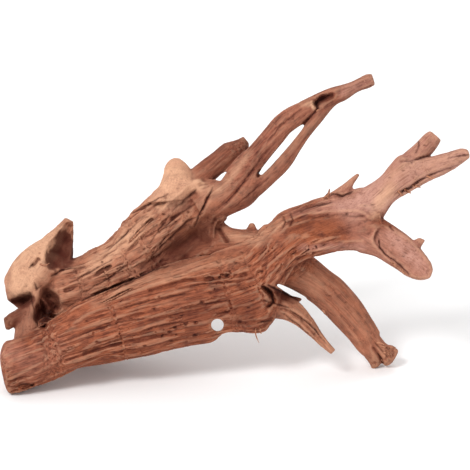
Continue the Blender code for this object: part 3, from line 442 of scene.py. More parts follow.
def in_frame() -> Matrix:
    """The move from the upright sheet to the frame."""
    lean = Matrix.Rotation(-SHEET_LEAN, 4, "X")
    return Matrix.Translation(Vector(SHEET_SHIFT) * MM) @ lean


def catmull_rom(before: float, start: float, end: float, after: float, t: float) -> float:
    """Works out a smooth value between two others.

    Args:
        before: the value before the first.
        start: the first value.
        end: the second value.
        after: the value after the second.
        t: how far along the value is, from 0 at start to 1 at end.

    Returns:
        The value there.
    """
    return 0.5 * (
        2 * start
        + (end - before) * t
        + (2 * before - 5 * start + 4 * end - after) * t * t
        + (3 * start - before - 3 * end + after) * t * t * t
    )


def stretches(rows: list[Row]) -> Iterator[Stretch]:
    """Each stretch from one row to the next, with the row before it and the row after it."""
    for i, (start, end) in enumerate(zip(rows, rows[1:])):
        yield rows[max(i - 1, 0)], start, end, rows[min(i + 2, len(rows) - 1)]


def row_between(stretch: Stretch, t: float) -> list[float]:
    """A smooth row, t of the way along a stretch."""
    return [catmull_rom(*values, t) for values in zip(*stretch)]


def noise_at(places: np.ndarray) -> np.ndarray:
    """Smooth noise from about -1 to 1, one value for each row of three numbers."""
    return np.array([noise.noise(place) for place in places.tolist()])


def smooth_step(values: np.ndarray, low: float, high: float) -> np.ndarray:
    """Values that rise from 0 at low to 1 at high."""
    t = np.clip((values - low) / (high - low), 0, 1)
    return t * t * (3 - 2 * t)


def vertex_rows(mesh: bpy.types.Mesh, name: str) -> np.ndarray:
    """Reads three numbers at each vertex.

    Args:
        mesh: the mesh.
        name: co for the vertices' places, or normal for the way they face.

    Returns:
        A row for each vertex.
    """
    flat = np.empty(len(mesh.vertices) * 3)
    mesh.vertices.foreach_get(name, flat)
    return flat.reshape(-1, 3)


def sheet_places(mesh: bpy.types.Mesh) -> np.ndarray:
    """A row of x, y and depth in millimetres for each vertex of an upright mesh."""
    places = vertex_rows(mesh, "co") / MM
    return np.stack([places[:, 0], SHEET_BASE - places[:, 2], places[:, 1]], axis=1)


def put_places(mesh: bpy.types.Mesh, places: np.ndarray) -> None:
    """Moves the vertices of an upright mesh.

    Args:
        mesh: the mesh.
        places: x, y and depth for each vertex, in millimetres.
    """
    moved = np.stack([places[:, 0], places[:, 2], SHEET_BASE - places[:, 1]], axis=1) * MM
    mesh.vertices.foreach_set("co", moved.ravel())
    mesh.update()


def skin_normals(mesh: bpy.types.Mesh) -> np.ndarray:
    """The way each vertex faces, as x, y and depth on the sheet."""
    normals = vertex_rows(mesh, "normal")
    return np.stack([normals[:, 0], -normals[:, 2], normals[:, 1]], axis=1)


def sunk_below(mesh: bpy.types.Mesh, rounds: int) -> np.ndarray:
    """How far each vertex lies under the average of its surroundings.

    Args:
        mesh: an even mesh.
        rounds: how often the skin is averaged. More rounds look further.

    Returns:
        Millimetres, above 0 in hollows and below 0 on ridges.
    """
    places = sheet_places(mesh)
    ends = np.empty(len(mesh.edges) * 2, np.int32)
    mesh.edges.foreach_get("vertices", ends)
    one, other = ends.reshape(-1, 2).T
    count = len(places)
    meeting = np.bincount(one, minlength=count) + np.bincount(other, minlength=count)
    even = places.copy()
    for _ in range(rounds):
        for axis in range(3):
            values = even[:, axis].copy()
            total = np.bincount(one, values[other], count) + np.bincount(other, values[one], count)
            even[:, axis] = total / meeting
    return ((even - places) * skin_normals(mesh)).sum(axis=1)


def add_modifier(target: bpy.types.Object, kind: str, **settings: object) -> None:
    """Adds a modifier, named for its kind.

    Args:
        target: the object that it changes.
        kind: the modifier's type.
        settings: its settings, by name.
    """
    modifier = target.modifiers.new(kind.lower(), kind)
    for name, value in settings.items():
        setattr(modifier, name, value)


def apply_modifiers(target: bpy.types.Object) -> None:
    """Replaces an object's mesh by what its modifiers make of it.

    Args:
        target: the object.
    """
    bpy.context.view_layer.update()
    graph = bpy.context.evaluated_depsgraph_get()
    mesh = bpy.data.meshes.new_from_object(target.evaluated_get(graph))
    target.modifiers.clear()
    old, target.data = target.data, mesh
    bpy.data.meshes.remove(old)


def new_object(name: str, bm: bmesh.types.BMesh) -> bpy.types.Object:
    """Puts a finished mesh into the scene.

    Args:
        name: the piece's name.
        bm: the mesh, which is freed.

    Returns:
        The new object.
    """
    bmesh.ops.recalc_face_normals(bm, faces=bm.faces)
    mesh = bpy.data.meshes.new(name)
    bm.to_mesh(mesh)
    bm.free()
    made = bpy.data.objects.new(name, mesh)
    bpy.context.scene.collection.objects.link(made)
    return made


def add_tube(bm: bmesh.types.BMesh, rings: list[list[Vector]]) -> None:
    """Adds one closed body through rings of points.

    Args:
        bm: the mesh that it goes into.
        rings: the rings in order, each with as many points as the others.
    """
    rows = [[bm.verts.new(point) for point in ring] for ring in rings]
    for ring, following in zip(rows, rows[1:]):
        for side in range(len(ring)):
            other = (side + 1) % len(ring)
            bm.faces.new((ring[side], ring[other], following[other], following[side]))
    bm.faces.new(rows[0])
    bm.faces.new(rows[-1])


@dataclass(frozen=True)
class Flutes:
    """The rounded ridges that the grain raises on every limb, this wide and long in millimetres."""

    width: float = 7.0
    length: float = 55.0
    broad: float = 2.6
    mean: float = 0.45
    fine: float = 0.7
    finer_across: float = 2.0
    finer_along: float = 1.5
    highest_per_radius: float = 0.15
    least: float = 0.25
    seed_step: float = 7.3

    def height_at(self, angle: float, along: float, radius: float, seed: float) -> float:
        """How far the ridges stand out at a place of a limb.

        Args:
            angle: the way round the limb, in radians.
            along: the way along the limb, in millimetres.
            radius: the limb's radius there.
            seed: the limb's own number.

        Returns:
            A share of the limb's grain height, from about -1 to 1.
        """
        turn = radius / self.width
        broad = (math.cos(angle) * turn, math.sin(angle) * turn, along / self.length + seed)
        turn *= self.finer_across
        along *= self.finer_along
        fine = (math.cos(angle) * turn, math.sin(angle) * turn, along / self.length - seed)
        ridge = abs(noise.noise(broad)) * self.broad - self.mean
        return ridge + noise.noise(fine) * self.fine


@dataclass(frozen=True)
class Limb:
    """One limb as ribs: x and y of one edge, x and y of the other, depth of the middle and half thickness."""

    name: str
    grain_height: float
    ribs: list[Row]
    seed: float
    tone: "Tone"

    def closer_ribs(self, spacing: float) -> list[list[float]]:
        """The ribs, with smooth ones added between them.

        Args:
            spacing: about how far apart they end up, in millimetres.

        Returns:
            The ribs, as the limb gives its own.
        """
        rows = []
        for stretch in stretches(self.ribs):
            _, start, end, _ = stretch
            twice_across = start[0] + start[2] - end[0] - end[2]
            twice_down = start[1] + start[3] - end[1] - end[3]
            steps = max(1, round(math.hypot(twice_across, twice_down) / 2 / spacing))
            rows += [row_between(stretch, step / steps) for step in range(steps)]
        return rows + [list(self.ribs[-1])]

    def rings(self, spacing: float, sides: int, flutes: Flutes, swelling: float) -> list[list[Vector]]:
        """The limb's rings.

        Args:
            spacing: millimetres from ring to ring.
            sides: points in each ring.
            flutes: the ridges of the grain.
            swelling: millimetres that smoothing takes away later.

        Returns:
            The rings' points, in metres on the upright sheet.
        """
        rings = []
        along = 0.0
        last_middle = None
        for ax, ay, bx, by, depth, half in self.closer_ribs(spacing):
            middle = on_sheet((ax + bx) / 2, (ay + by) / 2, depth)
            across = (on_sheet(ax, ay, depth) - on_sheet(bx, by, depth)) / 2
            back = Vector((0, half * MM, 0))
            radius = (across.length / MM + half) / 2
            height = min(self.grain_height, radius * flutes.highest_per_radius)
            height *= flutes.least + (1 - flutes.least) * min(self.tone.furrowed, 1.0)
            if last_middle is not None:
                along += (middle - last_middle).length / MM
            last_middle = middle
            ring = []
            for side in range(sides):
                angle = 2 * math.pi * side / sides
                ridge = height * flutes.height_at(angle, along, radius, self.seed)
                spread = across * math.cos(angle) + back * math.sin(angle)
                ring.append(middle + spread * (1 + (swelling + ridge) / radius))
            rings.append(ring)
        return rings

    def axis(self, rounds: int) -> tuple[np.ndarray, np.ndarray, np.ndarray]:
        """The limb's middle line.

        Args:
            rounds: how often the line is evened out, because the grain turns less sharply than the ribs do.

        Returns:
            A row of x, y and depth for each rib, the limb's radius there, and the way it runs, in radians on
            the sheet.
        """
        if self.name in GRAIN_LINES:
            middles, radii = np.split(np.array(GRAIN_LINES[self.name], float), [3], axis=1)
            radii = radii[:, 0]
        else:
            ax, ay, bx, by, depth, half = np.array(self.ribs, float).T
            middles = np.stack([(ax + bx) / 2, (ay + by) / 2, depth], axis=1)
            for _ in range(rounds):
                middles[1:-1] = (middles[:-2] + 2 * middles[1:-1] + middles[2:]) / 4
            radii = (np.hypot(ax - bx, ay - by) / 2 + half) / 2
        slope = np.gradient(middles, axis=0)
        return middles, radii, np.unwrap(np.arctan2(slope[:, 1], slope[:, 0]))


@dataclass(frozen=True)
class Beside:
    """Where vertices lie beside a stroke.

    Attributes:
        nearness: how far each lies from the stroke, in half widths.
        side: the same in millimetres, above 0 on one side of the stroke and below 0 on the other.
        value: the stroke's last value there.
    """

    nearness: np.ndarray
    side: np.ndarray
    value: np.ndarray


class Skin:
    """The root's upright skin as sheet places, and what faces one side of the sheet."""

    wander_size = 6.0

    def __init__(self, mesh: bpy.types.Mesh, inward: int, wander: float = 0.0) -> None:
        """Reads the mesh.

        Args:
            mesh: an upright mesh.
            inward: 1 for the front skin and -1 for the back skin, the way depth runs into the wood there.
            wander: how far strokes on it stray from their line, in millimetres.
        """
        self.mesh = mesh
        self.inward = inward
        self.places = sheet_places(mesh)
        self.x, self.y, self.depth = self.places.T
        self.stroke_x = self.x + wander * noise_at(self.places / self.wander_size)
        self.stroke_y = self.y + wander * noise_at(self.places / self.wander_size + ELSEWHERE)
        bm = bmesh.new()
        bm.from_mesh(mesh)
        self.tree = BVHTree.FromBMesh(bm)
        bm.free()

    def depth_at(self, x: float, y: float) -> float | None:
        """The depth of the skin at a place of the sheet.

        Args:
            x: how far right the place is, in millimetres.
            y: how far down it is.

        Returns:
            The depth in millimetres, or None beside the root.
        """
        start = on_sheet(x, y, -FAR * self.inward)
        hit = self.tree.ray_cast(start, Vector((0, self.inward, 0)))[0]
        return None if hit is None else hit.y / MM

    def faces_out(self, chosen: np.ndarray, hidden: float = 1.0) -> np.ndarray:
        """Which vertices nothing else hides.

        Args:
            chosen: the numbers of the vertices to look at.
            hidden: how far behind the skin in front of it a place is hidden.

        Returns:
            The numbers of those that face out.
        """
        depths = [self.depth_at(x, y) for x, y in zip(self.x[chosen], self.y[chosen])]
        first = np.array([np.nan if depth is None else depth for depth in depths], float)
        return chosen[~((self.depth[chosen] - first) * self.inward >= hidden)]

    def beside(self, stroke: Stroke, reach: float = 1.0) -> np.ndarray:
        """Finds the vertices near a stroke.

        Args:
            stroke: the stroke.
            reach: how far from it to look, in half widths.

        Returns:
            The numbers of those in the box round it.
        """
        rows = np.array(stroke)
        low = (rows[:, :2] - reach * rows[:, 2:3]).min(axis=0)
        high = (rows[:, :2] + reach * rows[:, 2:3]).max(axis=0)
        held = (self.stroke_x > low[0]) & (self.stroke_x < high[0])
        return np.flatnonzero(held & (self.stroke_y > low[1]) & (self.stroke_y < high[1]))

    def seen_beside(
        self, stroke: Stroke, reach: float, faces: np.ndarray, hidden: float
    ) -> tuple[np.ndarray, Beside]:
        """The vertices beside a stroke that face out.

        Args:
            stroke: the stroke.
            reach: how far from it to look, in half widths.
            faces: whether each vertex of the mesh faces the right way.
            hidden: how far behind the skin in front of it a place is hidden.

        Returns:
            Their numbers, and where they lie beside the stroke.
        """
        chosen = self.beside(stroke, reach)
        chosen = self.faces_out(chosen[faces[chosen]], hidden)
        return chosen, self.along_stroke(stroke, chosen)

    def along_stroke(self, stroke: Stroke, chosen: np.ndarray) -> Beside:
        """Measures vertices against a stroke.

        Args:
            stroke: the stroke.
            chosen: the numbers of the vertices.

        Returns:
            Where each lies beside it.
        """
        nearness = np.full(len(chosen), np.inf)
        side = np.zeros(len(chosen))
        value = np.zeros(len(chosen))
        for (ax, ay, a_half, a_value), (bx, by, b_half, b_value) in zip(stroke, stroke[1:]):
            across, down = bx - ax, by - ay
            right, below = self.stroke_x[chosen] - ax, self.stroke_y[chosen] - ay
            t = np.clip((right * across + below * down) / (across * across + down * down), 0, 1)
            away = np.hypot(right - t * across, below - t * down)
            distance = away / (a_half + (b_half - a_half) * t)
            nearer = distance < nearness
            nearness[nearer] = distance[nearer]
            side[nearer] = np.copysign(away, across * below - down * right)[nearer]
            value[nearer] = (a_value + (b_value - a_value) * t)[nearer]
        return Beside(nearness, side, value)

    def skin_along(self, stroke: Stroke, chosen: np.ndarray) -> np.ndarray:
        """Reads the skin's depth along a stroke.

        Args:
            stroke: the stroke.
            chosen: the numbers of the vertices beside it.

        Returns:
            For each vertex, the depth of the skin at the place of the stroke that is nearest to it.
        """
        depths = [self.depth_at(x, y) for x, y, _, _ in stroke]
        known = next(depth for depth in depths if depth is not None)
        depths = [known if depth is None else depth for depth in depths]
        level = [(x, y, 1, depth) for (x, y, _, _), depth in zip(stroke, depths)]
        return self.along_stroke(level, chosen).value

    def saw(self, faces: dict[str, Stroke]) -> None:
        """Cuts flat faces, by moving what stands out of each back to it.

        Args:
            faces: the places of each face: x, y, half of the width, and the depth of the flat.
        """
        for face in faces.values():
            chosen = self.beside(face)
            beside = self.along_stroke(face, chosen)
            above = (beside.nearness < 1) & ((beside.value - self.depth[chosen]) * self.inward > 0)
            self.depth[chosen[above]] = beside.value[above]
        put_places(self.mesh, self.places)


@dataclass(frozen=True)
class Carver:
    """Presses strokes into the skin, each as deep and wide as its places say.

    Attributes:
        reach: how far in depth from its own skin a stroke still presses fully, and where it stops.
        roundness: how gently a stroke's edges run out.
        grain: how large its uneven stretches are, in millimetres.
        unevenness: how much deeper or shallower they get.
        even_width: the half width above which strokes grow more even.
    """

    reach: Span = (9.0, 18.0)
    roundness: float = 1.5
    grain: float = 11.0
    unevenness: float = 0.7
    even_width: float = 4.3

    def press(self, skin: Skin, strokes: dict[str, Stroke]) -> None:
        """Presses the strokes into the wood, or raises them out of it.

        Args:
            skin: the side of the root that is carved.
            strokes: the places of each stroke: x, y, half of the width, and how deep it presses.
        """
        near, far = self.reach
        rough = noise_at(skin.places * (1 / self.grain, 1 / self.grain, 0))
        shift = np.zeros(len(skin.x))
        for stroke in strokes.values():
            chosen = skin.beside(stroke)
            chosen = skin.faces_out(chosen[skin.along_stroke(stroke, chosen).nearness < 1])
            beside = skin.along_stroke(stroke, chosen)
            gap = np.abs(skin.depth[chosen] - skin.skin_along(stroke, chosen))
            held = np.clip((far - gap) / (far - near), 0, 1)
            profile = (1 - beside.nearness**2) ** self.roundness
            widest = max(half for _, _, half, _ in stroke)
            kept = 1 + rough[chosen] * self.unevenness * min(1, self.even_width / widest)
            shift[chosen] += beside.value * profile * held * kept
        skin.depth += shift * skin.inward
        put_places(skin.mesh, skin.places)


class Tint(Enum):
    """What a limb or a patch gives the wood: a colour, painted shade together with stain, or how furrowed it
    is.
    """

    PALE = "pale"
    PINK = "pink"
    RUDDY = "ruddy"
    SHADE_AND_STAIN = "stain"
    FURROWED = "furrowed"


@dataclass(frozen=True)
class Tone:
    """How much of each tint a limb has, and how furrowed its skin is."""

    pale: float = 0.1
    pink: float = 0.1
    ruddy: float = 0.3
    # how much painted shade, together with stain, darkens the wood
    stain: float = 0.0
    furrowed: float = 1.0


@dataclass(frozen=True)
class Patch:
    """A stretch of the front skin that adds to a tint.

    Attributes:
        tint: what it adds to.
        stroke: its places: x, y, half of the width, and how much it adds.
        crispness: how sharply its edge ends.
    """

    tint: Tint
    stroke: Stroke
    crispness: float = 1.0


@dataclass
class Skein:
    """What the grain is at each vertex.

    Limbs that meet are kept in different groups, so that where one passes into the other both patterns are
    there to be blended.

    Attributes:
        across: for each group, where the vertex lies across the limb, in millimetres.
        runs: for each group, how far along the limb it lies.
        weights: for each group, how much of the vertex is its own.
        shares: the same for each limb.
        ways: which way the fibres run there.
        least_weight: the least weight of a group that counts.
    """

    across: np.ndarray
    runs: np.ndarray
    weights: np.ndarray
    shares: np.ndarray
    ways: np.ndarray
    least_weight: float = 0.02

    def plainness(self) -> np.ndarray:
        """1 where the grain is one limb's alone, and less where limbs pass into each other."""
        return (self.weights**2).sum(axis=0)

    def side_on(self, normals: np.ndarray) -> np.ndarray:
        """1 where the skin runs along the fibres, and 0 where it cuts across them."""
        return 1 - np.abs((normals * self.ways).sum(axis=1))

    def patterns(self, shortening: float = GRAIN_RUN) -> np.ndarray:
        """For each group, the vertex's place in a pattern that is shortened along the limb."""
        return self.across + shortening * self.runs

    def noise(self, width: float, shift: float = 0.0, shortening: float = GRAIN_RUN) -> np.ndarray:
        """Noise along the grain, from about -1 to 1.

        Args:
            width: how wide its streaks are.
            shift: a number of its own for each use.
            shortening: how much shorter the pattern is along the limb than the streaks are.

        Returns:
            A value for each vertex.
        """
        total = np.zeros(self.weights.shape[1])
        for pattern, weight in zip(self.patterns(shortening), self.weights):
            held = weight > self.least_weight
            total[held] += weight[held] * noise_at(pattern[held] / width + shift)
        return total / np.sqrt(self.plainness())


@dataclass(frozen=True)
class Laid:
    """Places laid out beside one limb, as if the limb were straight.

    Attributes:
        distance: how far each is from the limb's middle, in radii.
        across: where it lies across the limb.
        runs: how far along the limb it lies.
        ways: which way the limb runs there.
    """

    distance: np.ndarray
    across: np.ndarray
    runs: np.ndarray
    ways: np.ndarray


@dataclass(frozen=True)
class Grain:
    """The way that the wood's fibres run, from limb to limb and round the knots.

    Attributes:
        limbs: the limbs.
        knots: x, y and radius of each knot.
        sharpness: how quickly one limb's grain gives way to the next limb's.
        core: the distance from a limb's middle, in radii, within which it holds the wood fully.
        knot_lift: how far a knot pushes the grain aside, in its own radii.
        furthest: how many radii away a limb still counts.
        evening: how often a limb's middle line is evened out.
    """

    limbs: list[Limb]
    knots: list[Row]
    sharpness: float = 10.0
    core: float = 0.5
    knot_lift: float = 1.6
    furthest: float = 2.6
    evening: int = 6

    def laid_out(self, limb: Limb, places: np.ndarray) -> Laid:
        """Lays places out beside one limb.

        Args:
            limb: the limb.
            places: x, y and depth in each row.

        Returns:
            The places as they would be if the limb were straight.
        """
        middles, radii, bearings = limb.axis(self.evening)
        heading = bearings.mean()
        ahead = np.array([math.cos(heading), math.sin(heading), 0])
        distance = np.full(len(places), np.inf)
        across = np.zeros_like(places)
        runs = np.zeros_like(places)
        ways = np.zeros_like(places)
        reach = self.furthest * radii.max()
        inside = (places > middles.min(axis=0) - reach) & (places < middles.max(axis=0) + reach)
        near = np.flatnonzero(inside.all(axis=1))
        passed = 0.0
        last = len(middles) - 2
        for i, (start, end) in enumerate(zip(middles, middles[1:])):
            run = end - start
            span = float(np.linalg.norm(run))
            t = (places[near] - start) @ run / span**2
            held = np.clip(t, 0, 1)
            t = np.clip(t, -np.inf if i == 0 else 0, np.inf if i == last else 1)
            radius = radii[i] + (radii[i + 1] - radii[i]) * held
            away = np.linalg.norm(places[near] - start - held[:, None] * run, axis=1) / radius
            nearer = away < distance[near]
            chosen = near[nearer]
            beside = places[chosen] - start - t[nearer, None] * run
            swing = heading - bearings[i] - (bearings[i + 1] - bearings[i]) * held[nearer]
            across[chosen, 0] = beside[:, 0] * np.cos(swing) - beside[:, 1] * np.sin(swing)
            across[chosen, 1] = beside[:, 0] * np.sin(swing) + beside[:, 1] * np.cos(swing)
            across[chosen, 2] = beside[:, 2]
            distance[chosen] = away[nearer]
            runs[chosen] = (passed + t[nearer] * span)[:, None] * ahead
            ways[chosen] = run / span
            passed += span
        return Laid(distance, across, runs, ways)

    def parted(self, shares: np.ndarray) -> list[list[int]]:
        """Parts the limbs into groups, so that those of one group hardly meet.

        Args:
            shares: for each limb, how much of each vertex is its own.

        Returns:
            The numbers of each group's limbs.
        """
        meeting = shares @ shares.T
        groups: list[list[int]] = [[] for _ in range(GRAIN_GROUPS)]
        for number in np.argsort(-shares.sum(axis=1)):
            best = min(groups, key=lambda group: meeting[number, group].sum())
            best.append(int(number))
        return groups

    def skein(self, places: np.ndarray) -> Skein:
        """Reads the grain.

        Args:
            places: x, y and depth in each row.

        Returns:
            The grain at each place.
        """
        laid = [self.laid_out(limb, places) for limb in self.limbs]
        shares = np.array([np.maximum(one.distance, self.core) ** -self.sharpness for one in laid])
        shares /= shares.sum(axis=0)
        every = np.arange(len(places))
        knotted = np.zeros(len(places))
        for x, y, radius in self.knots:
            near = np.hypot(places[:, 0] - x, places[:, 1] - y) / radius
            knotted += self.knot_lift * radius * np.exp(-near * near)
        across, runs, weights = [], [], []
        for group in self.parted(shares):
            nearest = shares[group].argmax(axis=0)
            across.append(np.array([laid[number].across for number in group])[nearest, every])
            across[-1][:, 2] += knotted
            runs.append(np.array([laid[number].runs for number in group])[nearest, every])
            weights.append(shares[group].sum(axis=0))
        ways = np.array([one.ways for one in laid])[shares.argmax(axis=0), every]
        return Skein(np.array(across), np.array(runs), np.array(weights), shares, ways)


@dataclass(frozen=True)
class Weathering:
    """What water and drying did to the skin: furrows, ledges, cracks and pits.

    Widths, depths, heights and sizes are in millimetres. An edge is the span of noise over which a form goes
    from nothing to full, and a shift keeps its noise apart from the others'.
    """

    furrow_width: float = 2.6
    furrow_depth: float = 0.7
    furrow_edge: Span = (0.05, 0.5)
    furrow_shade_and_dirt: float = 0.15
    ledge_width: float = 4.2
    ledge_height: float = 0.34
    ledge_edge: Span = (0.0, 0.12)
    ledge_shifts: Span = (11.5, 23.5)
    crack_width: float = 2.3
    crack_run: float = 0.05
    crack_depth: float = 1.1
    crack_edge: Span = (0.36, 0.56)
    crack_shift: float = 5.5
    crack_shade_and_dirt: float = 0.6
    crack_cluster: float = 20.0
    crack_cluster_edge: Span = (0.0, 0.3)
    crack_cluster_shift: float = -8.5
    pit_width: float = 2.6
    pit_depth: float = 1.0
    pit_edge: Span = (0.45, 0.65)
    pit_shade_and_dirt: float = 0.5
    pit_cluster: float = 18.0
    pit_cluster_edge: Span = (0.1, 0.4)
    fuzz_width: float = 1.3
    fuzz_height: float = 0.26
    fuzz_shift: float = 31.5
    calm_size: float = 34.0
    calm_edge: Span = (-0.3, 0.3)
    calm_share: float = 0.5
    plain_edge: Span = (0.4, 1.0)
    side_edge: Span = (0.15, 0.7)
    end_share: float = 0.1

    def carve(
        self, skein: Skein, places: np.ndarray, normals: np.ndarray, furrowed: np.ndarray
    ) -> tuple[np.ndarray, np.ndarray]:
        """Works out how deep each vertex sinks.

        Args:
            skein: the grain at the vertices.
            places: their places on the sheet.
            normals: which way each faces.
            furrowed: how furrowed each is, from 0 to about 1.5.

        Returns:
            The millimetres that each sinks along its normal, and how dark its painted shade and dirt are,
            from 0 to 1.
        """
        furrow = smooth_step(skein.noise(self.furrow_width), *self.furrow_edge)
        crack = smooth_step(skein.noise(self.crack_width, self.crack_shift, self.crack_run), *self.crack_edge)
        cluster = skein.noise(self.crack_cluster, self.crack_cluster_shift)
        crack *= smooth_step(cluster, *self.crack_cluster_edge)
        ledge = np.zeros(len(places))
        for shift in self.ledge_shifts:
            ledge += smooth_step(skein.noise(self.ledge_width, shift), *self.ledge_edge)
        pit = smooth_step(noise_at(places / self.pit_width), *self.pit_edge)
        pit *= smooth_step(noise_at(places / self.pit_cluster + ELSEWHERE), *self.pit_cluster_edge)
        fuzz = skein.noise(self.fuzz_width, self.fuzz_shift)
        rough = self.roughness(skein, places, normals, furrowed)
        sunk = self.furrow_depth * furrow + self.crack_depth * crack + self.pit_depth * pit
        sunk -= self.ledge_height * (ledge - 1) + self.fuzz_height * fuzz
        # painted shade and dirt in furrows, cracks and pits
        shade_and_dirt = self.furrow_shade_and_dirt * furrow * furrow + self.crack_shade_and_dirt * crack + self.pit_shade_and_dirt * pit
        return sunk * rough, np.clip(shade_and_dirt * rough, 0, 1)

    def roughness(
        self, skein: Skein, places: np.ndarray, normals: np.ndarray, furrowed: np.ndarray
    ) -> np.ndarray:
        """Works out how much of the carving each vertex gets.

        Calm stretches, end grain and the places where limbs merge get less.

        Args:
            skein: the grain at the vertices.
            places: their places on the sheet.
            normals: which way each faces.
            furrowed: how furrowed each is.

        Returns:
            A share for each vertex, which may pass 1.
        """
        calm = smooth_step(noise_at(places / self.calm_size - ELSEWHERE), *self.calm_edge)
        rough = furrowed * (self.calm_share + calm)
        rough *= smooth_step(skein.plainness(), *self.plain_edge)
        along = smooth_step(skein.side_on(normals), *self.side_edge)
        return rough * (self.end_share + (1 - self.end_share) * along)


class Wire:
    """An output of a material's node, on which Python's own operators work out values."""

    def __init__(self, tree: "Nodes", socket: bpy.types.NodeSocket) -> None:
        """Keeps the node tree and the output."""
        self.tree = tree
        self.socket = socket

    def _joined(self, operation: str, first: "Wire | float", second: "Wire | float") -> "Wire":
        """The outcome of one Math node."""
        return self.tree.wire("ShaderNodeMath", {"operation": operation}, {0: first, 1: second})

    def __add__(self, other: "Wire | float") -> "Wire":
        """self + other."""
        return self._joined("ADD", self, other)

    def __radd__(self, other: float) -> "Wire":
        """other + self."""
        return self._joined("ADD", other, self)

    def __sub__(self, other: "Wire | float") -> "Wire":
        """self - other."""
        return self._joined("SUBTRACT", self, other)

    def __rsub__(self, other: float) -> "Wire":
        """other - self."""
        return self._joined("SUBTRACT", other, self)

    def __mul__(self, other: "Wire | float") -> "Wire":
        """self * other."""
        return self._joined("MULTIPLY", self, other)

    def __rmul__(self, other: float) -> "Wire":
        """other * self."""
        return self._joined("MULTIPLY", other, self)

    def __abs__(self) -> "Wire":
        """The value without its sign."""
        return self._joined("ABSOLUTE", self, 0.0)

    def rising(self, low: float, high: float) -> "Wire":
        """A value that rises from 0 at low to 1 at high."""
        settings = {"interpolation_type": "SMOOTHSTEP"}
        return self.tree.wire("ShaderNodeMapRange", settings, {0: self, 1: low, 2: high})


Socketed = Wire | float | tuple[float, ...]


class Nodes:
    """One material's nodes."""

    def __init__(self, name: str) -> None:
        """Makes the material, with its shader.

        Args:
            name: the material's name.
        """
        self.material = bpy.data.materials.new(name)
        self.material.use_nodes = True
        self.tree = self.material.node_tree
        self.shader = self.tree.nodes["Principled BSDF"]

    def node(
        self, kind: str, settings: dict[str, object], sockets: dict[int | str, Socketed]
    ) -> bpy.types.Node:
        """Adds any node.

        Args:
            kind: the node's type.
            settings: its settings, which are set first. A ramp's stops are places and colours.
            sockets: values or links of its inputs, by number or name.

        Returns:
            The new node.
        """
        made = self.tree.nodes.new(kind)
        for name, value in settings.items():
            if name == "stops":
                self.set_stops(made.color_ramp, value)
            else:
                setattr(made, name, value)
        for key, value in sockets.items():
            self.feed(made.inputs[key], value)
        return made

    def set_stops(self, ramp: bpy.types.ColorRamp, stops: list[tuple[float, Colour]]) -> None:
        """Sets a ramp's stops.

        Args:
            ramp: the ramp.
            stops: the place and the colour of each stop.
        """
        while len(ramp.elements) < len(stops):
            ramp.elements.new(1.0)
        for element, (place, colour) in zip(ramp.elements, stops):
            element.position = place
            element.color = (*colour, 1.0)

    def feed(self, socket: bpy.types.NodeSocket, value: Socketed) -> None:
        """Links an input, or sets it.

        Args:
            socket: the input.
            value: an output to link, or the value itself. A colour may leave its alpha out.
        """
        if isinstance(value, Wire):
            self.tree.links.new(value.socket, socket)
        elif isinstance(value, tuple) and len(value) < len(socket.default_value):
            socket.default_value = (*value, 1.0)
        else:
            socket.default_value = value

    def wire(
        self, kind: str, settings: dict[str, object], sockets: dict[int | str, Socketed], out: int | str = 0
    ) -> Wire:
        """Adds any node, as node does, and returns one of its outputs."""
        return Wire(self, self.node(kind, settings, sockets).outputs[out])

    def read(self, name: str, out: str = "Fac") -> Wire:
        """A value that each vertex of the piece keeps under this name."""
        return self.wire("ShaderNodeAttribute", {"attribute_name": name}, {}, out)

    def noise(self, place: Wire, width: float, detail: float = 4.0, roughness: float = 0.55) -> Wire:
        """Noise from 0 to 1 whose spots are about this wide, in the units of the place."""
        sockets = {"Vector": place, "Scale": 1 / width, "Detail": detail, "Roughness": roughness}
        return self.wire("ShaderNodeTexNoise", {"noise_dimensions": "3D"}, sockets)

    def blend(self, share: Wire | float, under: Wire | Colour, over: Wire | Colour) -> Wire:
        """A colour that goes from under to over as the share goes from 0 to 1."""
        settings = {"data_type": "RGBA", "clamp_factor": True}
        return self.wire("ShaderNodeMix", settings, {0: share, 6: under, 7: over}, 2)

    def bump(self, strength: float, depth: float, height: Wire) -> Wire:
        """A normal that is raised by a height from 0 to 1, which is this deep in metres."""
        return self.wire("ShaderNodeBump", {}, {"Strength": strength, "Distance": depth, "Height": height})

    def finished(self, sockets: dict[str, Socketed]) -> bpy.types.Material:
        """Feeds the shader.

        Args:
            sockets: values or links of its inputs, by name.

        Returns:
            The finished material.
        """
        for name, value in sockets.items():
            self.feed(self.shader.inputs[name], value)
        return self.material


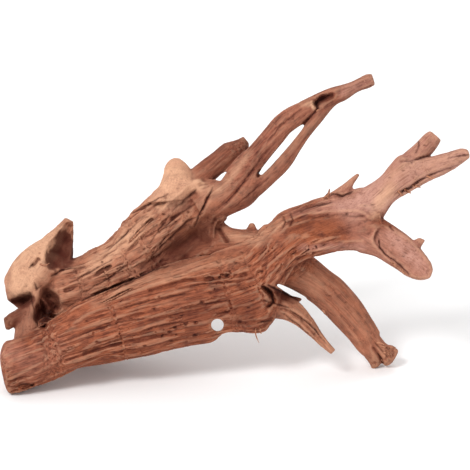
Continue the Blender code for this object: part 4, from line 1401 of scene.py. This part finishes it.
@dataclass(frozen=True)
class WeatheredWood:
    """Bare wood that water washed and sun dried: red-brown, furrowed and matt. Hollows are painted darker as
    shade, cracks and pits carry painted shade and dirt, and ridges get a painted highlight.

    Widths are across the grain in millimetres, and sizes in metres. An edge is the span over which a mask
    goes from nothing to full, and a share is how much of its colour shows where it is full.
    """

    name: str = "weathered_wood"
    deep: Colour = (0.070, 0.012, 0.007)
    heart: Colour = (0.185, 0.041, 0.018)
    ridge: Colour = (0.362, 0.097, 0.044)
    cream: Colour = (0.700, 0.392, 0.245)
    rose: Colour = (0.510, 0.266, 0.214)
    amber: Colour = (0.345, 0.082, 0.025)
    shade_and_dirt: Colour = (0.030, 0.008, 0.006)
    ash: Colour = (0.280, 0.190, 0.165)
    stops: Row = (0.34, 0.48, 0.66, 1.0)
    shade_shift: float = -0.41
    streak_width: float = 2.2
    fibre_width: float = 1.0
    check_width: float = 1.7
    blotch_size: float = 0.036
    mottle_size: float = 0.009
    jag_size: float = 0.0026
    speck_size: float = 0.0024
    amber_edge: Span = (0.35, 0.7)
    amber_share: float = 0.7
    rose_edge: Span = (0.25, 0.75)
    cream_edge: Span = (0.2, 0.7)
    ash_edge: Span = (0.6, 0.75)
    ash_fibre_edge: Span = (0.4, 0.7)
    ash_share: float = 0.15
    speck_edge: Span = (0.58, 0.7)
    speck_field_edge: Span = (0.4, 0.6)
    speck_share: float = 0.35
    check_edge: Span = (0.58, 0.68)
    check_share: float = 0.65
    checks_lost_in_pale: float = 0.8
    checks_kept_in_smooth: float = 0.3
    rim_highlight_edge: Span = (-0.05, -0.6)
    rim_highlight_share: float = 0.25
    shade_and_stain_share: float = 0.85
    hollow_shade_edge: Span = (0.1, 0.9)
    hollow_shade_share: float = 0.7
    shade_and_dirt_share: float = 0.8
    line_edge: Span = (0.0, 0.8)
    line_gap_edge: Span = (0.3, 0.55)
    line_stray: float = 4.5
    line_thinness: float = 1.3
    roughness: float = 0.72
    specular: float = 0.12
    bump_strength: float = 0.85
    bump_depth: float = 0.0012

    def streaks(self, nodes: Nodes, width: float, detail: float, roughness: float = 0.6) -> Wire:
        """Noise along the grain, blended where limbs meet.

        Args:
            nodes: the material's nodes.
            width: how wide its streaks are, in millimetres.
            detail: how many finer layers it has.
            roughness: how strong those are.

        Returns:
            A value from 0 to 1.
        """
        total: Wire | float = 0.0
        for group in range(GRAIN_GROUPS):
            pattern = nodes.read(f"grain_{group}", "Vector")
            total = total + nodes.noise(pattern, width, detail, roughness) * nodes.read(f"share_{group}")
        return total

    def material(self) -> bpy.types.Material:
        """Makes the finish: noise and masks, then colours from the lowest up, then relief.

        Returns:
            The material.
        """
        nodes = Nodes(self.name)
        place = nodes.wire("ShaderNodeTexCoord", {}, {}, "Object")
        streak = self.streaks(nodes, self.streak_width, 5.0, 0.68)
        fibre = self.streaks(nodes, self.fibre_width, 4.0, 0.65)
        check = self.streaks(nodes, self.check_width, 1.0)
        blotch = nodes.noise(place, self.blotch_size, 3.0)
        mottle = nodes.noise(place, self.mottle_size, 4.0, 0.6)
        jag = nodes.noise(place, self.jag_size, 4.0, 0.7)
        speck = nodes.noise(place, self.speck_size, 2.0).rising(*self.speck_edge)
        speck = speck * mottle.rising(*self.speck_field_edge)
        hollow = nodes.read("hollow")
        pale_share = nodes.read("pale")
        checks = (check + (fibre - 0.5) * 0.3 + (mottle - 0.5) * 0.2).rising(*self.check_edge)
        checks = checks * (1.0 - pale_share * self.checks_lost_in_pale)
        kept = self.checks_kept_in_smooth
        checks = checks * (nodes.read("furrowed") * (1.0 - kept) + kept)
        away = abs(nodes.read("cut_side") + (jag - 0.5) * self.line_stray)
        line = (1.0 - away * self.line_thinness).rising(*self.line_edge)
        line = line * nodes.read("cut") * (jag * 0.5 + streak * 0.5).rising(*self.line_gap_edge)

        shade = streak * 0.68 + fibre * 0.64 + mottle * 0.25 + blotch * 0.25 + self.shade_shift
        stops = list(zip(self.stops, (self.deep, self.heart, self.ridge, self.cream)))
        colour = nodes.wire("ShaderNodeValToRGB", {"stops": stops}, {0: shade}, "Color")
        for share, over in (
            (nodes.read("ruddy") * mottle.rising(*self.amber_edge) * self.amber_share, self.amber),
            (nodes.read("pink") * (streak * 0.6 + mottle * 0.6).rising(*self.rose_edge), self.rose),
            (pale_share * (streak * 0.5 + blotch * 0.7).rising(*self.cream_edge), self.cream),
            (blotch.rising(*self.ash_edge) * fibre.rising(*self.ash_fibre_edge) * self.ash_share, self.ash),
            (speck * self.speck_share, self.heart),
            (checks * self.check_share, self.deep),
            # painted highlight on ridges, where the skin stands above its surroundings
            (hollow.rising(*self.rim_highlight_edge) * self.rim_highlight_share, self.cream),
            # painted shade together with stain, from the limbs' tones and the patches
            (nodes.read("stain") * self.shade_and_stain_share, self.deep),
            # painted shade in hollows, where the skin lies below its surroundings
            (hollow.rising(*self.hollow_shade_edge) * self.hollow_shade_share, self.deep),
            # painted shade and dirt in furrows, cracks, pits and along the lines of the fine cracks
            (nodes.read("furrow") * self.shade_and_dirt_share, self.shade_and_dirt),
            (line * self.shade_and_dirt_share, self.shade_and_dirt),
        ):
            colour = nodes.blend(share, colour, over)

        height = streak * 0.6 + fibre * 0.5 + mottle * 0.2 - checks * 0.35 - line * 0.5
        return nodes.finished({
            "Base Color": colour,
            "Roughness": self.roughness + fibre * 0.2 - streak * 0.12,
            "Specular IOR Level": self.specular,
            "Normal": nodes.bump(self.bump_strength, self.bump_depth, height),
        })


@dataclass(frozen=True)
class DryFibre:
    """Thin torn fibres and flecks of bark: dry, matt and streaked. Sizes in metres."""

    name: str = "dry_fibre"
    dark: Colour = (0.110, 0.030, 0.016)
    light: Colour = (0.480, 0.220, 0.130)
    streak_size: float = 0.0016
    mottle_size: float = 0.0064
    light_edge: Span = (0.35, 0.62)
    roughness: float = 0.85
    specular: float = 0.1
    bump_strength: float = 0.8
    bump_depth: float = 0.0003

    def material(self) -> bpy.types.Material:
        """Makes the finish.

        Returns:
            The material.
        """
        nodes = Nodes(self.name)
        place = nodes.wire("ShaderNodeTexCoord", {}, {}, "Object")
        streak = nodes.noise(place, self.streak_size, 4.0, 0.6)
        mottle = nodes.noise(place, self.mottle_size, 2.0)
        lit = (streak * 0.6 + mottle * 0.4).rising(*self.light_edge)
        return nodes.finished({
            "Base Color": nodes.blend(lit, self.dark, self.light),
            "Roughness": self.roughness,
            "Specular IOR Level": self.specular,
            "Normal": nodes.bump(self.bump_strength, self.bump_depth, streak),
        })


@dataclass(frozen=True)
class StudioFloor:
    """The plain pale floor."""

    name: str = "studio_floor"
    colour: Colour = (0.95, 0.95, 0.95)
    roughness: float = 0.9
    specular: float = 0.1

    def material(self) -> bpy.types.Material:
        """Makes the finish.

        Returns:
            The material.
        """
        return Nodes(self.name).finished({
            "Base Color": self.colour,
            "Roughness": self.roughness,
            "Specular IOR Level": self.specular,
        })


# Each limb's tone, by its name. Limbs that lie in shade, such as the fin, the strut and the broken stub, are
# painted darker as shade.
TONES: dict[str, Tone] = {
    "trunk": Tone(pale=0.06, pink=0.03, ruddy=0.5, furrowed=0.8),
    "saddle": Tone(pale=0.12, ruddy=0.45, furrowed=0.7),
    "saddle_knot": Tone(pale=0.3, ruddy=0.4),
    "spike": Tone(pink=0.4, furrowed=0.4),
    "far_branch": Tone(pale=0.15, pink=0.8, ruddy=0.1, furrowed=0.3),
    "far_branch_stub": Tone(pink=0.55, furrowed=0.35),
    "sawn_lobe": Tone(pink=0.45, ruddy=0.35, furrowed=0.2),
    "lobe_spur": Tone(pink=0.4, furrowed=0.3),
    "leg": Tone(pale=0.15, pink=0.1, ruddy=0.35, furrowed=0.12),
    "leg_near_toe": Tone(pale=0.2, ruddy=0.4),
    "leg_far_toe": Tone(pale=0.2, ruddy=0.4),
    "split_leg": Tone(pale=0.25, ruddy=0.6, furrowed=0.8),
    "split_leg_fin": Tone(ruddy=0.1, stain=0.9),
    "upper_body": Tone(pale=0.22, ruddy=0.55, furrowed=1.15),
    "upper_branch": Tone(pale=0.05, pink=0.2, ruddy=0.4, stain=0.18, furrowed=0.4),
    "twig": Tone(pink=0.2, ruddy=0.4, stain=0.25, furrowed=0.25),
    "pale_lobe": Tone(pale=0.68, pink=0.3, furrowed=0.3),
    "broken_stub": Tone(pink=0.1, ruddy=0.3, stain=0.35, furrowed=0.7),
    "stump": Tone(pale=0.25, ruddy=0.4, stain=0.1, furrowed=0.45),
    "strut": Tone(ruddy=0.2, stain=0.6, furrowed=0.7),
    "post": Tone(pale=0.25, pink=0.2, stain=0.15, furrowed=0.5),
    "rear_wall": Tone(pale=0.2, ruddy=0.35),
    "rear_root": Tone(pale=0.1, ruddy=0.4),
}

# What the photographed side has besides: light, dark, pink, ruddy and smooth stretches.
# Many dark patches are painted shade in hollows and under overhangs, and some light ones are painted light on
# lit crests and ledges.
PATCHES: dict[str, Patch] = {
    # Pale wood, and painted light on the knob's lit face.
    "knob_face": Patch(
        Tint.PALE, [(20, 286, 16, 0.9), (26, 268, 20, 1.0), (40, 250, 18, 1.0), (58, 230, 8, 0.6)]
    ),
    "knob_foot": Patch(Tint.RUDDY, [(10, 298, 8, 0.6), (20, 296, 8, 0.6), (32, 293, 6, 0.4)]),
    # Painted shade under the knob's edge, in the stump's hollow, under the stump and in the hollows by the
    # post.
    "knob_edge": Patch(Tint.SHADE_AND_STAIN, [(8, 294, 4, 0.3), (13, 300, 5, 0.5), (20, 304, 5, 0.6)]),
    "stump_inside": Patch(Tint.SHADE_AND_STAIN, [(63, 237, 7.5, 1.2), (63, 248, 11, 1.3), (56, 260, 12, 1.3)], 4.0),
    "hollow_side": Patch(Tint.SHADE_AND_STAIN, [(73, 242, 3, 1.2), (74, 250, 5, 1.5), (68, 263, 5, 1.2)]),
    "under_stump": Patch(Tint.SHADE_AND_STAIN, [(12, 303, 5, 0.9), (24, 301, 7, 1.1), (30, 300, 5, 1)], 3.0),
    "post_hollows": Patch(Tint.SHADE_AND_STAIN, [(48, 290, 7, 0.5), (54, 302, 8, 0.8), (42, 318, 8, 1.0)], 2.0),
    # Painted highlight on the plate's lit crest.
    "plate": Patch(Tint.PALE, [(163, 206, 5, 0.7), (178, 194, 7, 0.85), (199, 184, 6, 0.6)], 3.0),
    "lobe_root": Patch(Tint.PALE, [(172, 180, 14, 0.7), (190, 186, 10, 0.5), (214, 190, 8, 0.4)]),
    "body_lit": Patch(
        Tint.PALE, [(84, 272, 8, 0.3), (100, 262, 9, 0.45), (128, 238, 10, 0.5), (148, 218, 8, 0.3)]
    ),
    "hollow_smooth": Patch(Tint.FURROWED, [(212, 228, 14, -0.7), (196, 236, 18, -0.8), (176, 250, 16, -0.8)]),
    # Painted shade in the hollow of the upper body.
    "body_hollow": Patch(
        Tint.SHADE_AND_STAIN, [(218, 222, 12, 0.5), (200, 236, 18, 0.8), (174, 254, 17, 0.9), (148, 268, 8, 0.6)]
    ),
    "body_side": Patch(Tint.RUDDY, [(170, 212, 16, 0.6), (196, 212, 16, 0.6), (178, 238, 16, 0.6)]),
    # Painted shade in the recess below the plate.
    "body_upper_dark": Patch(Tint.SHADE_AND_STAIN, [(168, 214, 12, 0.1), (190, 206, 14, 0.15)]),
    "body_side_dark": Patch(Tint.SHADE_AND_STAIN, [(172, 216, 12, 0.15), (192, 206, 12, 0.15), (205, 214, 10, 0.25)]),
    "branch_foot": Patch(Tint.RUDDY, [(215, 208, 12, 0.7), (240, 196, 12, 0.6), (256, 184, 9, 0.4)]),
    "branch_light": Patch(Tint.PALE, [(222, 190, 5, 0.5), (236, 170, 5, 0.5), (250, 152, 4, 0.4)]),
    "saddle_light": Patch(Tint.PALE, [(232, 236, 6, 0.3), (256, 240, 8, 0.4), (280, 224, 6, 0.3)]),
    "trunk_crest": Patch(
        Tint.PALE, [(96, 304, 5, 0.2), (150, 279, 7, 0.3), (200, 266, 7, 0.2), (244, 258, 8, 0.1)]
    ),
    "trunk_upper_right": Patch(Tint.SHADE_AND_STAIN, [(186, 286, 10, 0.1), (216, 284, 12, 0.2), (246, 280, 12, 0.2)]),
    "trunk_low": Patch(
        Tint.SHADE_AND_STAIN, [(150, 334, 10, 0.2), (185, 318, 18, 0.4), (215, 306, 16, 0.4), (245, 314, 14, 0.45)]
    ),
    "trunk_butt": Patch(Tint.PINK, [(12, 352, 14, 0.3), (30, 362, 18, 0.2), (60, 350, 16, 0.1)]),
    "butt_shade": Patch(Tint.SHADE_AND_STAIN, [(10, 372, 12, 0.2), (24, 366, 16, 0.2), (44, 356, 12, 0.1)]),
    # Pink wood, and painted light on the lit upper band of the limb.
    "limb_band": Patch(
        Tint.PINK, [(290, 214, 5, 0.2), (330, 207, 7, 0.4), (366, 204, 10, 0.6), (380, 206, 10, 0.8)]
    ),
    "dish_smooth": Patch(Tint.FURROWED, [(292, 226, 8, -0.3), (330, 229, 14, -0.6), (364, 230, 13, -0.6)]),
    "limb_dish": Patch(Tint.RUDDY, [(296, 232, 10, 0.5), (330, 228, 13, 0.8), (362, 228, 10, 0.7)]),
    "dish_shade": Patch(Tint.SHADE_AND_STAIN, [(290, 228, 8, 0.1), (328, 227, 12, 0.22), (362, 227, 10, 0.15)], 2.0),
    # Painted light on the lit ledge below the dish.
    "limb_ledge": Patch(Tint.PINK, [(300, 248, 4, 0.4), (330, 247, 5, 0.5), (360, 247, 5, 0.4)]),
    "limb_spots": Patch(Tint.PINK, [(365, 196, 8, 0.5), (376, 190, 8, 0.6)]),
    "limb_neck": Patch(Tint.PALE, [(374, 213, 7, 0.5), (378, 203, 8, 0.7), (388, 190, 8, 0.4)]),
    "far_light": Patch(Tint.PALE, [(392, 176, 8, 0.2), (408, 168, 8, 0.15), (450, 158, 5, 0.1)]),
    "lobe_light": Patch(Tint.PINK, [(392, 236, 9, 0.3), (410, 254, 10, 0.5), (424, 270, 7, 0.3)]),
    "leg_light": Patch(Tint.PALE, [(290, 266, 10, 0.05), (318, 286, 12, 0.1)]),
    "fin_shade": Patch(Tint.SHADE_AND_STAIN, [(270, 289, 5, 0.5), (281, 296, 7, 0.8), (293, 298, 5, 0.9)]),
    "leg_edge": Patch(Tint.RUDDY, [(326, 268, 5, 0.6), (346, 288, 5, 0.7), (364, 312, 5, 0.6)]),
    "end_grain": Patch(Tint.SHADE_AND_STAIN, [(258, 326, 6, 0.3), (268, 318, 6, 0.4)]),
    "branch_shadow": Patch(Tint.SHADE_AND_STAIN, [(244, 178, 6, 0.2), (256, 165, 8, 0.4), (268, 150, 5, 0.3)]),
    "branch_cap": Patch(
        Tint.PALE, [(300, 106, 3, 0.3), (308, 103, 3, 0.7), (312.5, 104, 3, 1), (313, 109, 2.5, 0.8)], 2.0
    ),
    "strut_shade": Patch(Tint.SHADE_AND_STAIN, [(8, 316, 6, 0.1), (22, 314, 6, 0.3), (34, 316, 6, 0.2)]),
    "upright_shade": Patch(Tint.SHADE_AND_STAIN, [(22, 324, 7, 0.3), (26, 338, 7, 0.3)]),
    # Painted shade in the pocket of the broken branch.
    "pocket": Patch(Tint.SHADE_AND_STAIN, [(316, 104, 4, 0.5), (330, 97, 4, 0.5)]),
    "strand": Patch(Tint.RUDDY, [(322, 109, 3, 0.9), (334, 98, 3, 0.9)]),
    "branch_tip": Patch(Tint.PINK, [(344, 92, 8, 0.4), (372, 80, 7, 0.4)]),
}


@dataclass
class MangroveRoot:
    """The grown piece itself, from the ribs to the finished skin. Sizes are in millimetres.

    A patch or a cut is drawn within its reach, in half widths of its stroke, but not where it lies further
    than hidden behind other wood, or where the skin's normal in depth is above facing. A cut is drawn fully
    from the depth that full gives.
    """

    name: str = "grown_root"
    ring_sides: int = 72
    ring_spacing: float = 2.5
    swelling: float = 0.35
    voxel: float = 1.05
    smooth_share: float = 0.5
    hollow_rounds: int = 12
    wander: float = 1.0
    pit_depth: float = 1.6
    patch_grain: float = 7.0
    patch_raggedness: float = 0.35
    patch_fringe: float = 0.25
    patch_reach: float = 1.6
    patch_hidden: float = 12.0
    patch_facing: float = 0.3
    cut_reach: float = 3.0
    cut_hidden: float = 8.0
    cut_facing: float = 0.5
    cut_strength: float = 1.05
    cut_full: float = 3.5
    line_reach: float = 6.0
    line_strength: float = 1.4
    line_fade: float = 2.0
    line_full: float = 4.0
    most_triangles: int = 197_000
    drilled_hole: Row = (217.5, 324.5, 12.5)
    hole_sides: int = 64
    hole_snap: float = 1.1
    hole_facing: float = 0.6
    hole_calm: float = 2.0
    flutes: Flutes = field(default_factory=Flutes)
    carver: Carver = field(default_factory=Carver)
    weathering: Weathering = field(default_factory=Weathering)
    finish: WeatheredWood = field(default_factory=WeatheredWood)

    def __post_init__(self) -> None:
        """Makes the limbs and their grain."""
        self.limbs = [
            Limb(name, height, ribs, number * self.flutes.seed_step, TONES[name])
            for number, (name, (height, ribs)) in enumerate(LIMBS.items())
        ]
        self.grain = Grain(self.limbs, KNOTS)

    def build(self) -> bpy.types.Object:
        """Grows, carves, weathers and stands up the root, and makes it the frame's piece.

        Returns:
            The piece.
        """
        bm = bmesh.new()
        for limb in self.limbs:
            add_tube(bm, limb.rings(self.ring_spacing, self.ring_sides, self.flutes, self.swelling))
        root = new_object(self.name, bm)
        self.join(root, smoothing=2)
        self.carve(root.data)
        self.open_gaps(root)
        self.join(root, smoothing=1)
        self.weather(root.data)
        share = self.most_triangles / (2 * len(root.data.polygons))
        add_modifier(root, "DECIMATE", ratio=min(share, 1.0))
        apply_modifiers(root)
        self.round_hole(root.data)
        self.front = Skin(root.data, inward=1)
        self.stand(root.data)
        self.dress(root)
        return root

    def join(self, root: bpy.types.Object, smoothing: int) -> None:
        """Turns what overlaps into one even skin.

        Args:
            root: the object.
            smoothing: how often the skin is smoothed.
        """
        add_modifier(root, "REMESH", mode="VOXEL", voxel_size=self.voxel * MM)
        add_modifier(root, "SMOOTH", factor=self.smooth_share, iterations=smoothing)
        apply_modifiers(root)

    def carve(self, mesh: bpy.types.Mesh) -> None:
        """Saws the flat faces and presses all strokes, front and back.

        Args:
            mesh: the root's upright mesh.
        """
        front = Skin(mesh, inward=1)
        front.saw(SAWN_FACES)
        self.carver.press(front, FRONT_STROKES)
        self.carver.press(Skin(mesh, inward=-1), BACK_STROKES)
        self.carver.press(Skin(mesh, inward=1, wander=self.wander), self.fine_strokes())

    def fine_strokes(self) -> dict[str, Stroke]:
        """Adds each pit, as a short stroke, to the fine strokes.

        Returns:
            All of them, by name.
        """
        pits = {
            f"pit_{number}": [(x - half / 2, y, half, depth), (x + half / 2, y, half, depth)]
            for number, (x, y, half, depth) in enumerate((*pit, self.pit_depth * pit[2]) for pit in PITS)
        }
        return FINE_STROKES | pits

    def open_gaps(self, root: bpy.types.Object) -> None:
        """Cuts the daylight slits and the drilled hole, straight back from the sheet.

        Args:
            root: the object.
        """
        tools = [self.wedge(name, outline) for name, outline in SLITS.items()] + [self.drill()]
        for tool in tools:
            add_modifier(root, "BOOLEAN", operation="DIFFERENCE", solver="MANIFOLD", object=tool)
        apply_modifiers(root)
        for tool in tools:
            bpy.data.objects.remove(tool)

    def wedge(self, name: str, outline: list[Row]) -> bpy.types.Object:
        """Makes the body that cuts one gap.

        Args:
            name: the gap's name.
            outline: x and y of its corners.

        Returns:
            The body, which is deeper than the root.
        """
        bm = bmesh.new()
        add_tube(bm, [[on_sheet(x, y, depth) for x, y in outline] for depth in (-FAR, FAR)])
        return new_object(name, bm)

    def drill(self) -> bpy.types.Object:
        """Makes the rod that cuts the drilled hole.

        Returns:
            The rod, which is deeper than the root.
        """
        x, y, width = self.drilled_hole
        turns = [2 * math.pi * side / self.hole_sides for side in range(self.hole_sides)]
        outline = [(x + math.cos(turn) * width / 2, y + math.sin(turn) * width / 2) for turn in turns]
        return self.wedge("drill", outline)

    def weather(self, mesh: bpy.types.Mesh) -> None:
        """Sinks furrows, cracks and pits into the skin, and keeps the grain and the tints at each vertex.

        Args:
            mesh: the root's upright mesh.
        """
        places = sheet_places(mesh)
        skein = self.grain.skein(places)
        normals = skin_normals(mesh)
        tones = {tint: self.limb_share(skein, tint.value) for tint in Tint}
        self.add_patches(mesh, tones)
        x, y, width = self.drilled_hole
        past_hole = np.hypot(places[:, 0] - x, places[:, 1] - y) - width / 2
        furrowed = np.maximum(tones[Tint.FURROWED], 0) * smooth_step(past_hole, 0, self.hole_calm)
        sunk, shade_and_dirt = self.weathering.carve(skein, places, normals, furrowed)
        put_places(mesh, places - normals * sunk[:, None])
        for group, (pattern, weight) in enumerate(zip(skein.patterns(), skein.weights)):
            self.keep(mesh, f"grain_{group}", pattern)
            self.keep(mesh, f"share_{group}", weight)
        self.keep_cuts(mesh, shade_and_dirt)
        self.keep(mesh, "hollow", sunk_below(mesh, self.hollow_rounds))
        for tint, values in tones.items():
            self.keep(mesh, tint.value, np.clip(values, 0, 1))

    def limb_share(self, skein: Skein, field_name: str) -> np.ndarray:
        """One field of the limbs' tones, blended at each vertex."""
        return np.array([getattr(limb.tone, field_name) for limb in self.limbs]) @ skein.shares

    def add_patches(self, mesh: bpy.types.Mesh, tones: dict[Tint, np.ndarray]) -> None:
        """Adds the named patches to the tints of the front skin.

        Args:
            mesh: the root's upright mesh.
            tones: how much of each tint each vertex has.
        """
        skin = Skin(mesh, inward=1, wander=2 * self.wander)
        faces = skin_normals(mesh)[:, 2] < self.patch_facing
        ragged = noise_at(skin.places / self.patch_grain) * self.patch_raggedness
        for patch in PATCHES.values():
            chosen, beside = skin.seen_beside(patch.stroke, self.patch_reach, faces, self.patch_hidden)
            held = (1 - beside.nearness + ragged[chosen]) * patch.crispness + self.patch_fringe
            tones[patch.tint][chosen] += np.clip(held, 0, 1) * beside.value

    def keep_cuts(self, mesh: bpy.types.Mesh, shade_and_dirt: np.ndarray) -> None:
        """Keeps what the finish needs to draw painted shade and dirt in the front's fine cracks and pits, and
        their dark lines.

        Args:
            mesh: the carved mesh.
            shade_and_dirt: how dark the painted shade and dirt at each vertex are already.
        """
        skin = Skin(mesh, inward=1, wander=self.wander)
        faces = skin_normals(mesh)[:, 2] < self.cut_facing
        side = np.full(len(shade_and_dirt), self.line_reach)
        plain = np.zeros(len(shade_and_dirt))
        for stroke in self.fine_strokes().values():
            raised = stroke[0][3] < 0
            if raised:
                continue
            chosen, beside = skin.seen_beside(stroke, self.cut_reach, faces, self.cut_hidden)
            held = np.clip(self.cut_strength - beside.nearness, 0, 1)
            held *= np.clip(beside.value / self.cut_full, 0, 1)
            shade_and_dirt[chosen] = np.maximum(shade_and_dirt[chosen], held)
            away = np.abs(beside.side)
            held = np.clip(self.line_strength - away / self.line_fade, 0, 1)
            held *= np.clip(beside.value / self.line_full, 0, 1)
            plain[chosen] = np.maximum(plain[chosen], held)
            nearer = away < np.abs(side[chosen])
            side[chosen[nearer]] = beside.side[nearer]
        for name, values in {"furrow": shade_and_dirt, "cut_side": side, "cut": plain}.items():
            self.keep(mesh, name, values)

    def keep(self, mesh: bpy.types.Mesh, name: str, values: np.ndarray) -> None:
        """Keeps what the finish reads.

        Args:
            mesh: the root's upright mesh.
            name: the name that the finish reads it by.
            values: a number or three numbers for each vertex.
        """
        kind, part = ("FLOAT", "value") if values.ndim == 1 else ("FLOAT_VECTOR", "vector")
        attribute = mesh.attributes.new(name, kind, "POINT")
        attribute.data.foreach_set(part, np.ascontiguousarray(values, np.float32).ravel())

    def round_hole(self, mesh: bpy.types.Mesh) -> None:
        """Puts the wall of the drilled hole back on its circle.

        Args:
            mesh: the root's upright mesh.
        """
        places = sheet_places(mesh)
        x, y, width = self.drilled_hole
        away = places[:, :2] - (x, y)
        reach = np.hypot(*away.T)
        near = np.abs(reach - width / 2) < self.hole_snap
        wall = near & (np.abs(skin_normals(mesh)[:, 2]) < self.hole_facing)
        places[wall, :2] = (x, y) + away[wall] * (width / 2 / reach[wall])[:, None]
        put_places(mesh, places)

    def stand(self, mesh: bpy.types.Mesh) -> None:
        """Leans the mesh back onto its feet, and keeps it inside the plain solid's box.

        Args:
            mesh: the root's upright mesh.
        """
        mesh.transform(in_frame())
        low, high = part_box("mangrove_root")
        inside = np.clip(vertex_rows(mesh, "co"), np.array(low), np.array(high))
        mesh.vertices.foreach_set("co", inside.ravel())
        mesh.update()

    def dress(self, root: bpy.types.Object) -> None:
        """Gives the root its finish, and lets it stand for the plain solid.

        Args:
            root: the object.
        """
        root.data.shade_smooth()
        root.data.materials.clear()
        root.data.materials.append(self.finish.material())
        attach(root, "root")
        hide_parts("mangrove_root")


@dataclass
class LooseFibres:
    """The hair of rootlet, torn splinters and flecks of bark, which are thinner than the solid holds."""

    name: str = "loose_fibres"
    sides: int = 7
    steps: int = 5
    unevenness: float = 0.25
    lump_reach: float = 3.0
    finish: DryFibre = field(default_factory=DryFibre)

    def build(self, front: Skin) -> bpy.types.Object:
        """Grows each fibre out of the skin, and makes them one piece that rides on the root.

        Args:
            front: the root's front skin.

        Returns:
            The piece.
        """
        bm = bmesh.new()
        for fibre in FIBRES.values():
            add_tube(bm, self.rings(fibre, front))
        fibres = new_object(self.name, bm)
        fibres.data.transform(in_frame())
        fibres.data.shade_smooth()
        fibres.data.materials.append(self.finish.material())
        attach(fibres, "root")
        return fibres

    def rings(self, fibre: list[Row], front: Skin) -> list[list[Vector]]:
        """The rings of one fibre.

        Args:
            fibre: its places: x, y, radius and how far it stands out from the skin at its root.
            front: the root's front skin.

        Returns:
            The rings' points, in metres on the upright sheet.
        """
        skin = front.depth_at(*fibre[0][:2])
        rings = []
        for stretch in stretches(fibre):
            _, start, end, _ = stretch
            along = on_sheet(*end[:2], 0) - on_sheet(*start[:2], 0)
            across = Vector((along.z, 0, -along.x)).normalized()
            for step in range(self.steps + (end is fibre[-1])):
                x, y, radius, rise = row_between(stretch, step / self.steps)
                middle = on_sheet(x, y, skin - rise)
                turns = [2 * math.pi * side / self.sides for side in range(self.sides)]
                rings.append([middle + self.spread(across, turn, radius, middle) for turn in turns])
        return rings

    def spread(self, across: Vector, angle: float, radius: float, middle: Vector) -> Vector:
        """The way from a fibre's middle to its skin at this angle."""
        way = across * math.cos(angle) + Vector((0, math.sin(angle), 0))
        return way * radius * MM * (1 + self.unevenness * noise.noise(middle / MM + self.lump_reach * way))


@dataclass
class Studio:
    """The plain pale floor, the soft light and the camera at the photograph's angle. Sizes in metres."""

    floor_side: float = 12.0
    distance: float = 5.0
    sheet_middle: Row = (235.0, 235.0, 45.0)  # mm on the sheet
    sensor: float = 36.0
    sky_strength: float = 0.75
    aim: Row = (0.0, 0.0, 0.12)
    finish: StudioFloor = field(default_factory=StudioFloor)

    def build(self) -> None:
        """Sets up everything round the root."""
        self.lay_floor()
        self.light_world()
        self.hang_lamp("key_lamp", (-1.5, -1.9, 2.6), size=1.0, watts=74.0)
        self.hang_lamp("fill_lamp", (2.2, -2.4, 1.4), size=2.0, watts=9.0)
        self.hang_lamp("back_lamp", (0.4, 2.2, 2.6), size=2.0, watts=24.0)
        self.set_camera()

    def lay_floor(self) -> None:
        """The floor, which isn't part of the root."""
        bm = bmesh.new()
        bmesh.ops.create_grid(bm, x_segments=1, y_segments=1, size=self.floor_side / 2)
        floor = new_object("studio_floor", bm)
        floor.data.materials.append(self.finish.material())

    def light_world(self) -> None:
        """An even white sky."""
        world = bpy.data.worlds.new("studio_sky")
        bpy.context.scene.world = world
        world.use_nodes = True
        sky = world.node_tree.nodes["Background"]
        sky.inputs["Color"].default_value = (1.0, 1.0, 1.0, 1.0)
        sky.inputs["Strength"].default_value = self.sky_strength

    def hang_lamp(self, name: str, place: Row, size: float, watts: float) -> None:
        """A square soft lamp that looks at the root.

        Args:
            name: the lamp's name.
            place: where it hangs, in metres.
            size: its side, in metres.
            watts: its power.
        """
        lamp = bpy.data.lights.new(name, "AREA")
        lamp.size = size
        lamp.energy = watts
        hung = bpy.data.objects.new(name, lamp)
        hung.location = place
        beam = Vector(self.aim) - Vector(place)
        hung.rotation_euler = beam.to_track_quat("-Z", "Y").to_euler()
        bpy.context.scene.collection.objects.link(hung)

    def set_camera(self) -> None:
        """A long lens square to the sheet, so that the outline is the photograph's."""
        camera = bpy.data.objects.new("photo_camera", bpy.data.cameras.new("photo_camera"))
        camera.data.sensor_width = self.sensor
        camera.data.lens = self.sensor * self.distance / (PHOTO_SIDE * MM)
        middle = in_frame() @ on_sheet(*self.sheet_middle)
        back = Vector((0, -math.cos(SHEET_LEAN), math.sin(SHEET_LEAN)))
        camera.location = middle + back * self.distance
        camera.rotation_euler = (-back).to_track_quat("-Z", "Y").to_euler()
        bpy.context.scene.collection.objects.link(camera)
        bpy.context.scene.camera = camera


def report(piece: bpy.types.Object) -> None:
    """Logs a piece's name and how many triangles it has."""
    piece.data.calc_loop_triangles()
    log.info("%s has %d triangles", piece.name, len(piece.data.loop_triangles))


def main() -> None:
    """Builds the root and the studio."""
    logging.basicConfig(level=logging.INFO, format="%(name)s: %(message)s")
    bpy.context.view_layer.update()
    bpy.context.scene.view_settings.view_transform = "Standard"
    grown = MangroveRoot()
    report(grown.build())
    report(LooseFibres().build(grown.front))
    Studio().build()
    log.info("the studio is lit")


if __name__ == "__main__":
    main()
